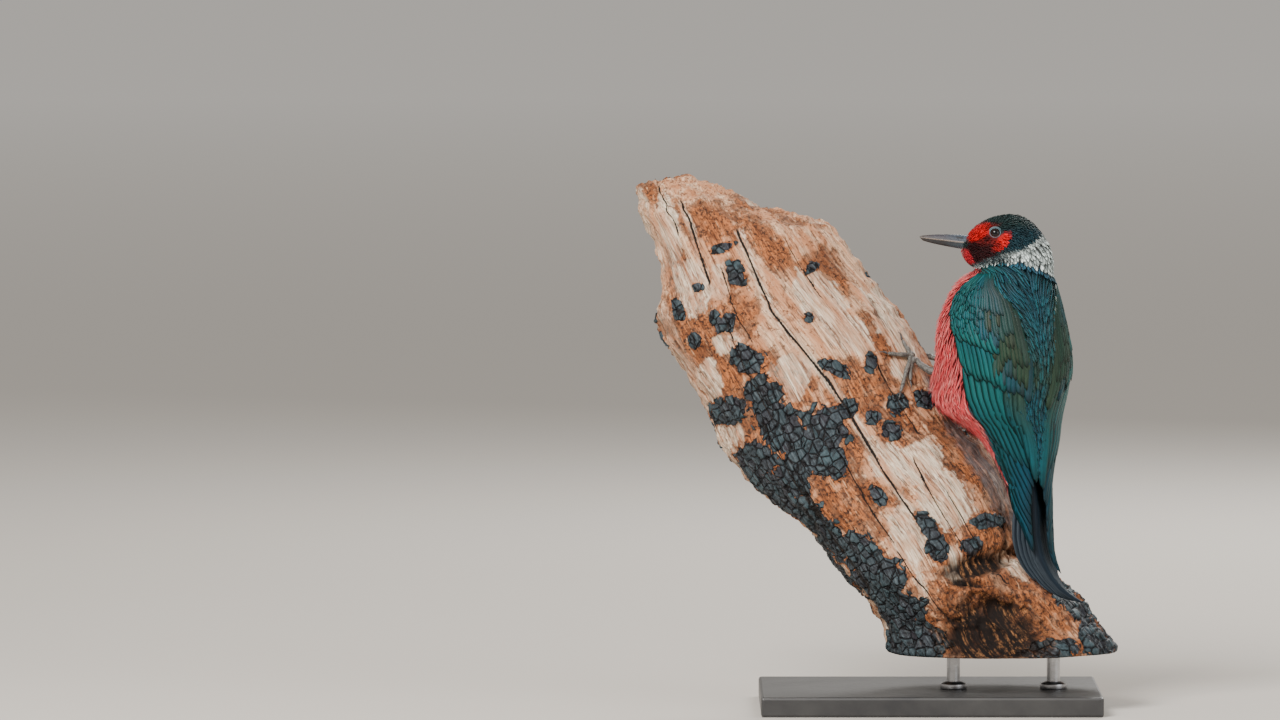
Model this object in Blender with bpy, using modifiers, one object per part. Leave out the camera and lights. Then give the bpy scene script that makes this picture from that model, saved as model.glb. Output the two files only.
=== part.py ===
"""Lewis's woodpecker, life size, clinging to a short length of leaning snag on a plain display stand.

World axes: +Z up, the bird's bill points along -X, the display faces -Y. The origin is the centre of
the underside of the stand's base. Profile tables are in millimetres and are scaled to metres on use.
"""
import math

import bpy
from mathutils import Vector
from mathutils.bvhtree import BVHTree

MM = 0.001
COLLECTION = "Woodpecker"

# --- stand ------------------------------------------------------------------------------------------
BASE_WIDTH, BASE_DEPTH, BASE_HEIGHT = 204.0, 140.0, 12.0
BASE_BEVEL = 1.6
ROD_RADIUS = 4.0
ROD_X = (14.0, 74.0)
ROD_Y = -12.0
ROD_GAP = 0.15

# --- snag: height, left edge, right edge, middle of its depth, half its depth --------------------------
SNAG_CUT = 34.4
SNAG = (
    (34.4, -26.4, 112.8, -12.0, 56.0),
    (48.7, -27.4, 102.4, -10.2, 55.5),
    (63.6, -36.0, 92.4, -9.2, 57.5),
    (78.5, -49.9, 76.4, -7.4, 56.0),
    (93.3, -61.8, 60.9, -2.4, 52.2),
    (108.1, -74.4, 56.2, 1.5, 51.1),
    (122.9, -95.4, 53.1, 5.5, 50.1),
    (137.6, -110.4, 46.6, 10.0, 50.0),
    (154.2, -124.8, 34.4, 15.0, 50.0),
    (169.5, -130.2, 19.9, 20.2, 50.0),
    (184.8, -138.0, 9.1, 25.3, 50.0),
    (201.4, -148.3, 2.1, 29.2, 50.0),
    (218.0, -159.0, -6.0, 33.1, 49.7),
    (232.8, -164.4, -15.6, 36.6, 48.7),
    (248.8, -159.9, -28.9, 40.2, 47.2),
    (265.4, -161.0, -41.7, 43.6, 45.0),
    (278.5, -165.0, -51.0, 46.1, 42.0),
    (288.6, -170.5, -60.7, 48.1, 38.6),
    (293.4, -173.1, -78.0, 49.0, 37.0),
    (298.1, -174.4, -101.4, 50.0, 33.0),
    (303.5, -175.7, -110.5, 51.0, 28.9),
    (307.6, -176.7, -120.3, 51.9, 24.7),
    (311.8, -177.6, -130.9, 52.4, 18.0),
    (314.4, -165.0, -136.8, 53.0, 9.0),
    (317.2, -155.5, -143.0, 53.0, 3.0),
)
SNAG_SIDES = 36
HOLLOW_X, HOLLOW_Z, HOLLOW_SPREAD, HOLLOW_DEPTH = 40.0, 62.0, 24.0, 0.26

# --- body and folded wings together: height, middle x, middle y, half across, half deep ----------------
FACING = math.radians(55.0)
BODY = (
    (262.1, 48.1, -10.0, 25.1, 25.1),
    (255.4, 45.3, -9.0, 29.7, 29.7),
    (241.5, 43.3, -8.0, 35.3, 35.3),
    (224.7, 43.0, -8.0, 39.7, 38.9),
    (212.1, 44.0, -8.0, 41.1, 39.9),
    (198.9, 43.4, -8.0, 41.8, 39.7),
    (185.7, 42.1, -9.0, 41.2, 37.9),
    (178.7, 43.5, -12.0, 38.4, 33.8),
    (171.1, 48.5, -16.0, 32.5, 26.0),
    (162.3, 53.3, -20.0, 26.7, 19.2),
    (153.5, 55.8, -22.5, 22.6, 14.9),
    (145.1, 57.2, -24.0, 19.7, 12.2),
    (135.6, 58.6, -25.0, 16.8, 10.2),
    (126.0, 59.4, -25.5, 16.5, 9.3),
    (114.6, 60.0, -26.0, 16.3, 8.8),
    (102.0, 61.5, -26.5, 16.0, 8.3),
    (95.4, 63.0, -27.0, 15.8, 8.0),
    (81.2, 70.2, -30.0, 15.0, 7.0),
)
TRUNK_TOP, TRUNK_END = 261.8, 141.6
TRUNK_SIDES = 36

# --- wing: share of its length, leading edge and back edge (degrees round from the spine), depth -------
WING = (
    (0.000, 90.0, 64.0, 1.5),
    (0.066, 97.0, 46.0, 2.6),
    (0.128, 94.0, 37.0, 3.2),
    (0.216, 81.0, 28.0, 3.6),
    (0.300, 76.0, 23.0, 3.8),
    (0.467, 62.0, 16.0, 3.6),
    (0.536, 67.0, 13.0, 3.2),
    (0.612, 87.0, 11.0, 2.8),
    (0.663, 95.0, 10.0, 2.4),
    (0.761, 93.0, 8.0, 2.0),
    (0.820, 80.0, 8.0, 1.7),
    (0.890, 52.0, 8.0, 1.5),
    (0.966, 38.0, 13.0, 1.3),
    (1.000, 31.0, 24.0, 1.2),
)
WING_TOP, WING_LENGTH = 259.6, 164.2
WING_EDGE = 1.05
WING_ROWS, WING_COLS = 26, 7
CLEARANCE = 0.42

# --- tail: height, middle x, middle y, half across, half thick ------------------------------------------
TAIL = (
    (139.8, 58.2, -26.0, 11.0, 4.5),
    (126.1, 59.4, -27.0, 13.5, 4.2),
    (114.7, 60.2, -27.5, 15.3, 3.6),
    (104.5, 61.0, -28.0, 16.0, 3.0),
    (95.0, 62.9, -29.5, 15.6, 2.4),
    (88.5, 65.3, -31.0, 14.6, 2.0),
    (79.6, 70.7, -34.0, 13.0, 1.7),
    (73.7, 75.9, -35.5, 11.4, 1.4),
    (68.9, 82.3, -34.5, 8.2, 1.1),
    (64.6, 90.8, -32.0, 2.6, 0.8),
)

# --- head and neck: crown x, z, throat x, z, half width -------------------------------------------------
HEAD_Y = -10.0
HEAD = (
    (21.9, 283.7, 17.7, 276.2, 4.0),
    (23.7, 286.4, 18.3, 273.5, 7.0),
    (27.0, 289.8, 19.8, 270.5, 9.6),
    (31.8, 292.9, 21.6, 268.1, 11.6),
    (37.8, 295.4, 23.4, 266.5, 13.0),
    (44.4, 296.6, 24.6, 265.7, 13.9),
    (51.0, 296.4, 25.4, 265.1, 14.6),
    (57.6, 294.1, 25.6, 264.6, 15.5),
    (63.6, 289.1, 25.4, 264.1, 16.9),
)
NECK = (
    (64.0, 288.7, 25.5, 263.7, 17.0),
    (68.4, 282.8, 25.0, 263.3, 18.8),
    (71.7, 275.6, 24.4, 262.9, 21.0),
    (73.1, 269.3, 23.6, 262.5, 23.0),
    (73.2, 262.15, 23.0, 262.15, 25.0),
)
HEAD_SIDES = 28

EYE_X, EYE_Z, EYE_RADIUS = 38.4, 285.9, 3.5
EYE_REACH = 11.0
SOCKET_GAP = 0.3

# --- bill: base and tip of each half, then share along, half width, depth --------------------------------
BILL_TIP = (-6.9, 283.2)
BILL_UPPER_BASE, BILL_LOWER_BASE = (21.3, 283.9), (17.2, 276.6)
BILL_PARTING = (19.4, 280.0)
BILL_HALF_WIDTH = 3.9
BILL_GAP = 0.3
BILL_SIDES, BILL_ROWS = 12, 8

# --- legs: where each leaves the body, the ankle, and the tip of each toe ---------------------------------
LEG_START_Z = 202.5
LEG_RADII = (2.9, 2.3, 1.8, 1.5)
ANKLE_RADIUS = 2.3
ANKLE_LIFT = 2.9
TOE_RADII = (1.7, 1.0)
TOE_LIFT = 0.55
CLAW_LENGTH, CLAW_RADIUS, CLAW_GAP = 7.0, 0.95, 0.4
FEET = {
    "left": dict(side=1, round=131.0, ankle=(-12.9, 210.4),
                 toes=((-26.0, 212.6), (-17.4, 219.6), (-18.6, 190.0), (-12.6, 196.6))),
    "right": dict(side=-1, round=-163.0, ankle=(-4.0, 207.0),
                  toes=((-17.0, 211.5), (-9.0, 218.0), (-9.5, 188.0), (-1.5, 196.0))),
}

BACK = Vector((math.cos(FACING), -math.sin(FACING), 0.0))
LEFT = Vector((-math.sin(FACING), -math.cos(FACING), 0.0))

FINISHES = {
    "glossy_plumage": (0.010, 0.085, 0.105, 0.42),
    "crown_plumage": (0.016, 0.045, 0.052, 0.45),
    "collar_plumage": (0.42, 0.46, 0.46, 0.60),
    "tail_plumage": (0.014, 0.026, 0.032, 0.45),
    "bill_horn": (0.10, 0.11, 0.13, 0.35),
    "eye_dark": (0.010, 0.008, 0.010, 0.05),
    "leg_scales": (0.26, 0.27, 0.30, 0.55),
    "claw_horn": (0.030, 0.030, 0.034, 0.35),
    "snag_wood": (0.36, 0.24, 0.17, 0.80),
    "stand_paint": (0.035, 0.035, 0.038, 0.50),
    "stand_steel": (0.55, 0.55, 0.56, 0.30),
}


def clear_scene():
    """Start from an empty scene."""
    for thing in list(bpy.data.objects):
        bpy.data.objects.remove(thing, do_unlink=True)


def finish(name):
    """Return the named material, made once."""
    if name in bpy.data.materials:
        return bpy.data.materials[name]
    red, green, blue, rough = FINISHES[name]
    material = bpy.data.materials.new(name)
    material.use_nodes = True
    shader = material.node_tree.nodes["Principled BSDF"]
    shader.inputs["Base Color"].default_value = (red, green, blue, 1.0)
    shader.inputs["Roughness"].default_value = rough
    return material


def place(thing, name, slot, smooth=True):
    """Name a finished object, give it its material and move it to the model's collection."""
    thing.name = name
    thing.data.name = name
    thing.data.materials.clear()
    thing.data.materials.append(finish(slot))
    home = bpy.data.collections.get(COLLECTION)
    if home is None:
        home = bpy.data.collections.new(COLLECTION)
        bpy.context.scene.collection.children.link(home)
    for other in list(thing.users_collection):
        other.objects.unlink(thing)
    home.objects.link(thing)
    thing.data.polygons.foreach_set("use_smooth", [smooth] * len(thing.data.polygons))
    return thing


def loft(name, rings, slot, smooth=True):
    """Skin a closed solid over rings of equal count, capped at both ends by a fan."""
    count = len(rings[0])
    points = [point * MM for ring in rings for point in ring]
    first, last = len(points), len(points) + 1
    points.append(sum(rings[0], Vector()) / count * MM)
    points.append(sum(rings[-1], Vector()) / count * MM)
    faces = []
    for row in range(len(rings) - 1):
        for k in range(count):
            a, b = row * count + k, row * count + (k + 1) % count
            faces.append((a, b, b + count, a + count))
    tail = (len(rings) - 1) * count
    for k in range(count):
        faces.append((first, (k + 1) % count, k))
        faces.append((last, tail + k, tail + (k + 1) % count))
    return place(solid(name, points, faces), name, slot, smooth)


def solid(name, points, faces):
    """Make an object from points and faces with its normals outward."""
    mesh = bpy.data.meshes.new(name)
    mesh.from_pydata([tuple(p) for p in points], [], faces)
    thing = bpy.data.objects.new(name, mesh)
    bpy.context.scene.collection.objects.link(thing)
    bpy.context.view_layer.objects.active = thing
    bpy.ops.object.select_all(action="DESELECT")
    thing.select_set(True)
    bpy.ops.object.mode_set(mode="EDIT")
    bpy.ops.mesh.select_all(action="SELECT")
    bpy.ops.mesh.normals_make_consistent(inside=False)
    bpy.ops.object.mode_set(mode="OBJECT")
    return thing


def row_at(table, where):
    """Read a table at one value of its first column, by a smooth curve through its rows."""
    rows = sorted(table)
    where = min(max(where, rows[0][0]), rows[-1][0])
    k = max(i for i in range(len(rows) - 1) if rows[i][0] <= where)
    low, high = rows[k], rows[k + 1]
    before, after = rows[max(k - 1, 0)], rows[min(k + 2, len(rows) - 1)]
    span = high[0] - low[0]
    t = (where - low[0]) / span
    out = []
    for c in range(1, len(low)):
        step = (high[c] - low[c]) / span
        into = step if k == 0 else ((low[c] - before[c]) / (low[0] - before[0]) + step) / 2
        away = step if k + 2 == len(rows) else ((after[c] - high[c]) / (after[0] - high[0]) + step) / 2
        out.append(low[c] * (1 + 2 * t) * (1 - t) ** 2 + high[c] * t * t * (3 - 2 * t)
                   + into * span * t * (1 - t) ** 2 - away * span * t * t * (1 - t))
    return out


def ramp(value):
    """Ease from 0 to 1 over the unit interval."""
    value = min(max(value, 0.0), 1.0)
    return value * value * (3 - 2 * value)


def wing_drop(share, side):
    """Distance of a share of the wing's length below its top. The right wing tip hangs lower."""
    stretch = 0.2157 * max(0.0, share - 0.6) if side < 0 else 0.0
    return WING_LENGTH * (share + stretch)


def wing_share(height, side):
    """Share of the wing's length at a height."""
    drop = (WING_TOP - height) / WING_LENGTH
    return (drop + 0.2157 * 0.6) / 1.2157 if side < 0 and drop > 0.6 else drop


def shell_point(height, degrees, depth):
    """Point on the outline of body and folded wings, sunk by a depth, by degrees round from the spine."""
    x, y, across, deep = row_at(BODY, height)
    turn = math.radians(degrees)
    normal = (LEFT * (math.sin(turn) / across) + BACK * (math.cos(turn) / deep)).normalized()
    out = LEFT * (across * math.sin(turn)) + BACK * (deep * math.cos(turn))
    return Vector((x, y, height)) + out - normal * depth


def wing_cover(height, degrees):
    """Depth the wings take up over the body at this place."""
    side = 1 if degrees >= 0 else -1
    share = wing_share(height, side)
    if share <= 0.0:
        return WING_EDGE * ramp(1 + share / 0.03)
    lead, back, depth = row_at(WING, share)
    place_across = (2 * abs(degrees) - lead - back) / (lead - back)
    if abs(place_across) <= 1.0:
        return WING_EDGE + (depth - WING_EDGE) * (1 - place_across ** 2)
    beyond = abs(degrees) - lead if place_across > 0 else back - abs(degrees)
    return WING_EDGE * (1 - ramp((beyond - 5.0) / 12.0))


def make_trunk():
    """Body from the base of the neck to the rump, relieved where the wings lie over it."""
    rows = 30
    rings = []
    for i in range(rows):
        height = TRUNK_TOP + (TRUNK_END - TRUNK_TOP) * i / (rows - 1)
        ring = []
        for k in range(TRUNK_SIDES):
            degrees = (k * 360.0 / TRUNK_SIDES + 180.0) % 360.0 - 180.0
            ring.append(shell_point(height, degrees, wing_cover(height, degrees)))
        rings.append(ring)
    return loft("trunk", rings, "glossy_plumage")


def make_wing(name, side):
    """Folded wing: a curved solid that lies over the flank from shoulder to wing tip."""
    rows = []
    for i in range(WING_ROWS):
        share = i / (WING_ROWS - 1)
        lead, back, _ = row_at(WING, share)
        height = WING_TOP - wing_drop(share, side)
        outer, inner = [], []
        for k in range(WING_COLS + 1):
            degrees = side * (lead + (back - lead) * k / WING_COLS)
            outer.append(shell_point(height, degrees, 0.0))
            inner.append(shell_point(height, degrees, wing_cover(height, degrees) - CLEARANCE))
        rows.append(outer + inner[::-1])
    return loft(name, rows, "glossy_plumage")


def section(centre, across, deep, half_across, half_deep, count):
    """Oval ring about a centre in the plane of two directions."""
    ring = []
    for k in range(count):
        turn = 2 * math.pi * k / count
        ring.append(centre + across * (half_across * math.sin(turn)) + deep * (half_deep * math.cos(turn)))
    return ring


def make_tail():
    """Tail: stiff blades gathered into one tapering solid whose tip rests against the snag."""
    centres = [Vector((x, y, z)) for z, x, y, _, _ in TAIL]
    rings = []
    for i, (_, _, _, half_across, half_thick) in enumerate(TAIL):
        run = (centres[min(i + 1, len(TAIL) - 1)] - centres[max(i - 1, 0)]).normalized()
        across = (LEFT - run * LEFT.dot(run)).normalized()
        deep = across.cross(run)
        rings.append(section(centres[i], across, deep, half_across, half_thick, 20))
    return loft("tail", rings, "tail_plumage")


def head_rings(table):
    """Rings of the head or neck, each standing across the line from crown to throat."""
    rings = []
    for crown_x, crown_z, throat_x, throat_z, half_width in table:
        crown, throat = Vector((crown_x, HEAD_Y, crown_z)), Vector((throat_x, HEAD_Y, throat_z))
        half = (crown - throat) / 2
        rings.append(section((crown + throat) / 2, Vector((0, -1, 0)), half.normalized(),
                             half_width, half.length, HEAD_SIDES))
    return rings


def cut(thing, tool, operation="DIFFERENCE"):
    """Apply a Boolean to a solid and discard the tool."""
    step = thing.modifiers.new("cut", "BOOLEAN")
    step.operation = operation
    step.solver = "EXACT"
    step.object = tool
    bpy.ops.object.select_all(action="DESELECT")
    bpy.context.view_layer.objects.active = thing
    thing.select_set(True)
    bpy.ops.object.modifier_apply(modifier=step.name)
    bpy.data.objects.remove(tool, do_unlink=True)


def ball(name, centre, radius, segments=16, rings=10):
    """Sphere with its poles across the head."""
    bpy.ops.mesh.primitive_uv_sphere_add(segments=segments, ring_count=rings, radius=radius * MM,
                                         location=centre * MM, rotation=(math.pi / 2, 0.0, 0.0))
    thing = bpy.context.object
    thing.name = name
    bpy.ops.object.transform_apply(location=True, rotation=True, scale=True)
    return thing


def make_head():
    """Head with a socket each side, an eye in each, and the neck below."""
    head = loft("head", head_rings(HEAD), "crown_plumage")
    for name, side in (("left", -1), ("right", 1)):
        centre = Vector((EYE_X, HEAD_Y + side * EYE_REACH, EYE_Z))
        cut(head, ball("socket", centre, EYE_RADIUS + SOCKET_GAP))
        place(ball("eye", centre, EYE_RADIUS, 14, 9), f"eye_{name}", "eye_dark")
    place(head, "head", "crown_plumage")
    loft("neck", head_rings(NECK), "collar_plumage")


def make_bill():
    """Straight pointed bill in two halves that meet along a level parting."""
    tip = Vector((BILL_TIP[0], HEAD_Y, BILL_TIP[1]))
    parting = Vector((BILL_PARTING[0], HEAD_Y, BILL_PARTING[1]))
    for name, base, sense in (("bill_upper", BILL_UPPER_BASE, 1), ("bill_lower", BILL_LOWER_BASE, -1)):
        base = Vector((base[0], HEAD_Y, base[1]))
        rings = []
        for i in range(BILL_ROWS):
            share = i / (BILL_ROWS - 1) * (0.985 if sense > 0 else 0.955)
            width = BILL_HALF_WIDTH * (1 - share) ** 0.82
            edge = parting.lerp(tip, share)
            ridge = base.lerp(tip, share)
            up = ridge - edge
            ridge_height = max(up.length - BILL_GAP / 2, 0.25)
            up.normalize()
            ring = []
            for k in range(BILL_SIDES):
                turn = math.pi * k / (BILL_SIDES - 1)
                ring.append(edge + up * (BILL_GAP / 2 + ridge_height * math.sin(turn) ** 0.85)
                            + Vector((0, max(width, 0.22) * math.cos(turn), 0)))
            rings.append(ring)
        loft(name, rings, "bill_horn")


def make_snag():
    """Leaning length of dead trunk: broken at the top, sawn level at the foot, hollowed near the foot."""
    rings = []
    for height, left, right, middle, half_depth in SNAG:
        ring = []
        for k in range(SNAG_SIDES):
            turn = 2 * math.pi * k / SNAG_SIDES
            swell = (1 + 0.022 * math.sin(3 * turn + 1.1 + height / 55)
                     + 0.018 * math.sin(5 * turn + height / 38) + 0.010 * math.sin(9 * turn - height / 21))
            ring.append(Vector((math.cos(turn) * swell, -math.sin(turn) * swell, 0.0)))
        low, high = min(p.x for p in ring), max(p.x for p in ring)
        for p in ring:
            p.x = left + (right - left) * (p.x - low) / (high - low)
            p.y = middle + half_depth * p.y
            p.z = height
            if p.y < middle:
                away = math.hypot(p.x - HOLLOW_X, p.z - HOLLOW_Z) / HOLLOW_SPREAD
                p.y += (middle - p.y) * HOLLOW_DEPTH * math.exp(-away ** 2)
        rings.append(ring)
    return loft("snag", rings, "snag_wood")


def wood_surface(snag):
    """Return a function that finds the snag's face at an x and height, from the display or far side."""
    corners = [v.co.copy() for v in snag.data.vertices]
    tree = BVHTree.FromPolygons(corners, [tuple(p.vertices) for p in snag.data.polygons])

    def face(x, z, side, lift):
        """Return the point that stands a lift over the wood."""
        start = Vector((x, -300.0 * side, z)) * MM
        hit, normal, _, _ = tree.ray_cast(start, Vector((0.0, side, 0.0)))
        if normal.y * side > 0:
            normal = -normal
        return hit / MM + normal * lift

    return face


def tube(name, points, radii, slot, count=8, first_run=None, aside=Vector((0.12, 1.0, 0.2))):
    """Tapering round limb through the points; its first ring may stand across a given direction."""
    rings = []
    for i, point in enumerate(points):
        run = (points[min(i + 1, len(points) - 1)] - points[max(i - 1, 0)]).normalized()
        if i == 0 and first_run is not None:
            run = first_run
        side = run.cross(aside).normalized()
        rings.append(section(point, side, run.cross(side), radii[i], radii[i], count))
    return loft(name, rings, slot)


def make_foot(name, face, spec):
    """Leg, two toes forward and two back round one ankle, and a hooked claw on each toe."""
    side = spec["side"]
    ankle = face(*spec["ankle"], side, ANKLE_LIFT)
    start = shell_point(LEG_START_Z, spec["round"], -0.6)
    away = (start - shell_point(LEG_START_Z, spec["round"], 1.0)).normalized()
    end = ankle + (start + away * 3.0 - ankle).normalized() * (ANKLE_RADIUS + 1.2)
    points = [start, start + away * 2.4, (start + away * 5.0).lerp(end, 0.55), end]
    tube(f"leg_{name}", points, LEG_RADII, "leg_scales", 10, away, Vector((0.1, 0.1, 1.0)))
    foot = ball("foot", ankle, ANKLE_RADIUS, 12, 8)
    for k, (toe_x, toe_z) in enumerate(spec["toes"]):
        path, sizes = [ankle.copy()], [TOE_RADII[0] * 0.9]
        for i in range(1, 6):
            share = i / 5
            radius = TOE_RADII[0] + (TOE_RADII[1] - TOE_RADII[0]) * share
            x = spec["ankle"][0] + (toe_x - spec["ankle"][0]) * share
            z = spec["ankle"][1] + (toe_z - spec["ankle"][1]) * share
            swell = 1.0 + 0.10 * math.cos(share * 5 * math.pi)
            point = face(x, z, side, radius * swell + TOE_LIFT + 1.0 * (1 - share) ** 2)
            path.append(point)
            sizes.append(radius * swell)
        toe = tube("toe", path, sizes, "leg_scales")
        cut(foot, toe, "UNION")
        run = (path[-1] - path[-2]).normalized()
        base = path[-1] + run * CLAW_GAP
        reach = CLAW_LENGTH / 4
        claw, widths = [base], [CLAW_RADIUS]
        for i in range(1, 5):
            share = i / 4
            target = path[-1] + run * (CLAW_GAP + reach * i * (1 - 0.16 * share))
            lift = (0.45 + 0.12, 1.9, 2.1, 1.5, 0.62)[i]
            point = face(target.x, target.z, side, lift)
            straight = base + run * reach * i
            claw.append(straight.lerp(point, (0.45, 0.75, 0.92, 1.0)[i - 1]))
            widths.append(CLAW_RADIUS * (1 - 0.86 * share))
        tube(f"claw_{name}_{k + 1}", claw, widths, "claw_horn", 6, run)
    place(foot, f"foot_{name}", "leg_scales")


def make_stand():
    """Flat base plate and two short rods that meet the sawn foot of the snag."""
    bpy.ops.mesh.primitive_cube_add(size=1.0, location=(0.0, 0.0, BASE_HEIGHT / 2 * MM))
    base = bpy.context.object
    base.scale = (BASE_WIDTH * MM, BASE_DEPTH * MM, BASE_HEIGHT * MM)
    bpy.ops.object.transform_apply(location=True, rotation=False, scale=True)
    edge = base.modifiers.new("edge", "BEVEL")
    edge.width = BASE_BEVEL * MM
    edge.segments = 2
    edge.limit_method = "ANGLE"
    bpy.ops.object.modifier_apply(modifier=edge.name)
    place(base, "stand_base", "stand_paint", smooth=False)
    low, high = BASE_HEIGHT + ROD_GAP, SNAG_CUT - ROD_GAP
    for name, x in zip(("left", "right"), ROD_X):
        bpy.ops.mesh.primitive_cylinder_add(vertices=24, radius=ROD_RADIUS * MM, depth=(high - low) * MM,
                                            location=(x * MM, ROD_Y * MM, (low + high) / 2 * MM))
        rod = bpy.context.object
        bpy.ops.object.transform_apply(location=True, rotation=False, scale=False)
        place(rod, f"stand_rod_{name}", "stand_steel", smooth=False)


def main():
    """Build every part of the display."""
    clear_scene()
    make_stand()
    face = wood_surface(make_snag())
    make_trunk()
    make_wing("wing_left", 1)
    make_wing("wing_right", -1)
    make_tail()
    make_head()
    make_bill()
    for name, spec in FEET.items():
        make_foot(name, face, spec)


main()
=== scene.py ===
"""Looks of a life-size Lewis's woodpecker that clings to a scorched snag on a plain display stand.

The CAD model is the fixed frame. The bird's outline is rebuilt here as one smooth form, and a skin,
feathers, bill, eyes and feet are laid over it. Lengths in the bird's and snag's tables are millimetres.
"""
import logging
import math
from collections.abc import Callable
from dataclasses import dataclass, field
from enum import Enum, IntEnum

import bpy
import numpy as np
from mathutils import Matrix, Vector


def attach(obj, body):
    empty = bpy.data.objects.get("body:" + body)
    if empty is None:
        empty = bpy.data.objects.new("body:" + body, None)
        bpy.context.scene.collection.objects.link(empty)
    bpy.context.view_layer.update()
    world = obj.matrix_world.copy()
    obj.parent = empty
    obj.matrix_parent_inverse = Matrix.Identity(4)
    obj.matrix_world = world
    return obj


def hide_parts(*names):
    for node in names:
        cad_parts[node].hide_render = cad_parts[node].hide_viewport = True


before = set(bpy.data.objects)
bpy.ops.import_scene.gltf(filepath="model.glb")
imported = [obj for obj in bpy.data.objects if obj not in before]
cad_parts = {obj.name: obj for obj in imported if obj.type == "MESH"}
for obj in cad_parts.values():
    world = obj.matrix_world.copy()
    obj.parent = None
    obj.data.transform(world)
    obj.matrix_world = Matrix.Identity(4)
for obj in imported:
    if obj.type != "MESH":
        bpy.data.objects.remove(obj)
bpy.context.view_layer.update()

MM = 0.001
EYE_X, EYE_Z = 38.4, 285.9
GRAIN_SHIFT = 97.0
MAP_WIDTH, MAP_LENGTH = 0.0015, 0.003
LOG = logging.getLogger("woodpecker")
Array = np.ndarray
Piece = bpy.types.Object
Material = bpy.types.Material
Socket = bpy.types.NodeSocket


# ---- Shared tools: noise, meshes, node trees ----
class Seed(IntEnum):
    """Seeds of the random draws and of the noises."""

    BRISTLE_ROOTS = 2
    FACE = 3
    WOOD = 5
    CHIPS = 6
    COLLAR = 7
    CREST = 8
    LIDS = 9
    FACE_LIE = 12
    COLLAR_LIE = 15
    BREAST = 17
    BREAST_LIE = 18
    LOCKS = 19
    LOCK_LIFT = 20
    BACK = 23
    BACK_LIE = 25
    BACK_LIGHT = 26
    BRISTLES = 31
    LESSER = 31
    MARKINGS = 41
    SCUTES = 60
    TAIL = 77


class Noise:
    """Repeatable smooth noise in three dimensions, about -1 to 1."""

    table_size: int = 256
    reach: float = 1.7

    def __init__(self, seed: int) -> None:
        """Make the noise's tables.

        Args:
            seed: Any whole number; the same number gives the same noise.
        """
        rng = np.random.default_rng(seed)
        self.order = rng.permutation(self.table_size)
        slopes = rng.normal(size=(self.table_size, 3))
        self.slopes = slopes / np.linalg.norm(slopes, axis=1)[:, None]
        self.shifts = rng.random((self.table_size, 3))

    def _pick(self, cell: Array) -> Array:
        """Read the shuffled table for each cell.

        Args:
            cell: Whole numbers in rows of three.

        Returns:
            A table row for each cell.
        """
        last = self.table_size - 1
        row = self.order[cell[:, 0] & last]
        row = self.order[(row + cell[:, 1]) & last]
        return self.order[(row + cell[:, 2]) & last]

    def __call__(self, points: Array) -> Array:
        """Return the noise at each point.

        Args:
            points: Points, one to a row, already scaled to the noise's grain.

        Returns:
            One value for each point.
        """
        cell = np.floor(points).astype(int)
        part = points - cell
        fade = part ** 3 * (part * (part * 6 - 15) + 10)
        total = np.zeros(len(points))
        for corner in range(8):
            step = np.array([corner & 1, corner >> 1 & 1, corner >> 2 & 1])
            weight = np.prod(np.where(step, fade, 1 - fade), axis=1)
            total += weight * (self.slopes[self._pick(cell + step)] * (part - step)).sum(1)
        return total * self.reach

    def layered(self, points: Array, layers: int = 3) -> Array:
        """Add finer layers of the noise, each half as strong.

        Args:
            points: Rows of three numbers.
            layers: How many layers to add.

        Returns:
            The sum for each point.
        """
        total = np.zeros(len(points))
        for layer in range(layers):
            total += self(points * 2.0 ** layer + 7.3 * layer) * 0.5 ** layer
        return total

    def cells(self, points: Array, boxy: bool = False) -> tuple[Array, Array]:
        """Split space into irregular cells.

        Args:
            points: Points, one to a row, scaled so that a cell is about 1 across.
            boxy: True for cells like blocks, False for rounded ones.

        Returns:
            How far each point is inside its cell's border, and a number 0 to 1 for its cell.
        """
        cell = np.floor(points).astype(int)
        near = np.full(len(points), 9.0)
        second = near.copy()
        label = np.zeros(len(points))
        for shift in np.ndindex(3, 3, 3):
            other = cell + np.array(shift) - 1
            row = self._pick(other)
            way = np.abs(other + self.shifts[row] * 0.8 + 0.1 - points)
            gap = way.max(1) + way.sum(1) * 0.12 if boxy else np.linalg.norm(way, axis=1)
            closer = gap < near
            second = np.where(closer, near, np.minimum(second, gap))
            label = np.where(closer, row / (self.table_size - 1), label)
            near = np.where(closer, gap, near)
        return second - near, label


def ease(value: Array, low: float = 0.0, high: float = 1.0) -> Array:
    """Ease from 0 at low to 1 at high."""
    share = np.clip((value - low) / (high - low), 0.0, 1.0)
    return share * share * (3 - 2 * share)


def sink(value: Array, high: float, low: float) -> Array:
    """Ease from 0 at high to 1 at low."""
    return ease(-value, -high, -low)


def blend(first: Array, second: Array, share: Array) -> Array:
    """Mix two sets of colours by a share for each row."""
    return first + (np.asarray(second) - first) * np.asarray(share)[:, None]


def unit(vectors: Array) -> Array:
    """Return vectors, one to a row, at length 1."""
    return vectors / (np.linalg.norm(vectors, axis=-1)[..., None] + 1e-9)


def oval(points: Array, centre: tuple, sizes: tuple, degrees: float) -> Array:
    """Measure points against a tilted oval seen from the display side.

    Args:
        points: Points in millimetres.
        centre: The oval's middle in X and Z.
        sizes: Its half length and half width.
        degrees: Its tilt from X towards Z.

    Returns:
        0 at the middle of the oval and 1 at its edge.
    """
    turn = math.radians(degrees)
    x, z = points[:, 0] - centre[0], points[:, 2] - centre[1]
    along = (x * math.cos(turn) + z * math.sin(turn)) / sizes[0]
    across = (z * math.cos(turn) - x * math.sin(turn)) / sizes[1]
    return np.hypot(along, across)


def side_word(side: int) -> str:
    """Return left for 1 and right for -1."""
    return "left" if side > 0 else "right"


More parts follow.
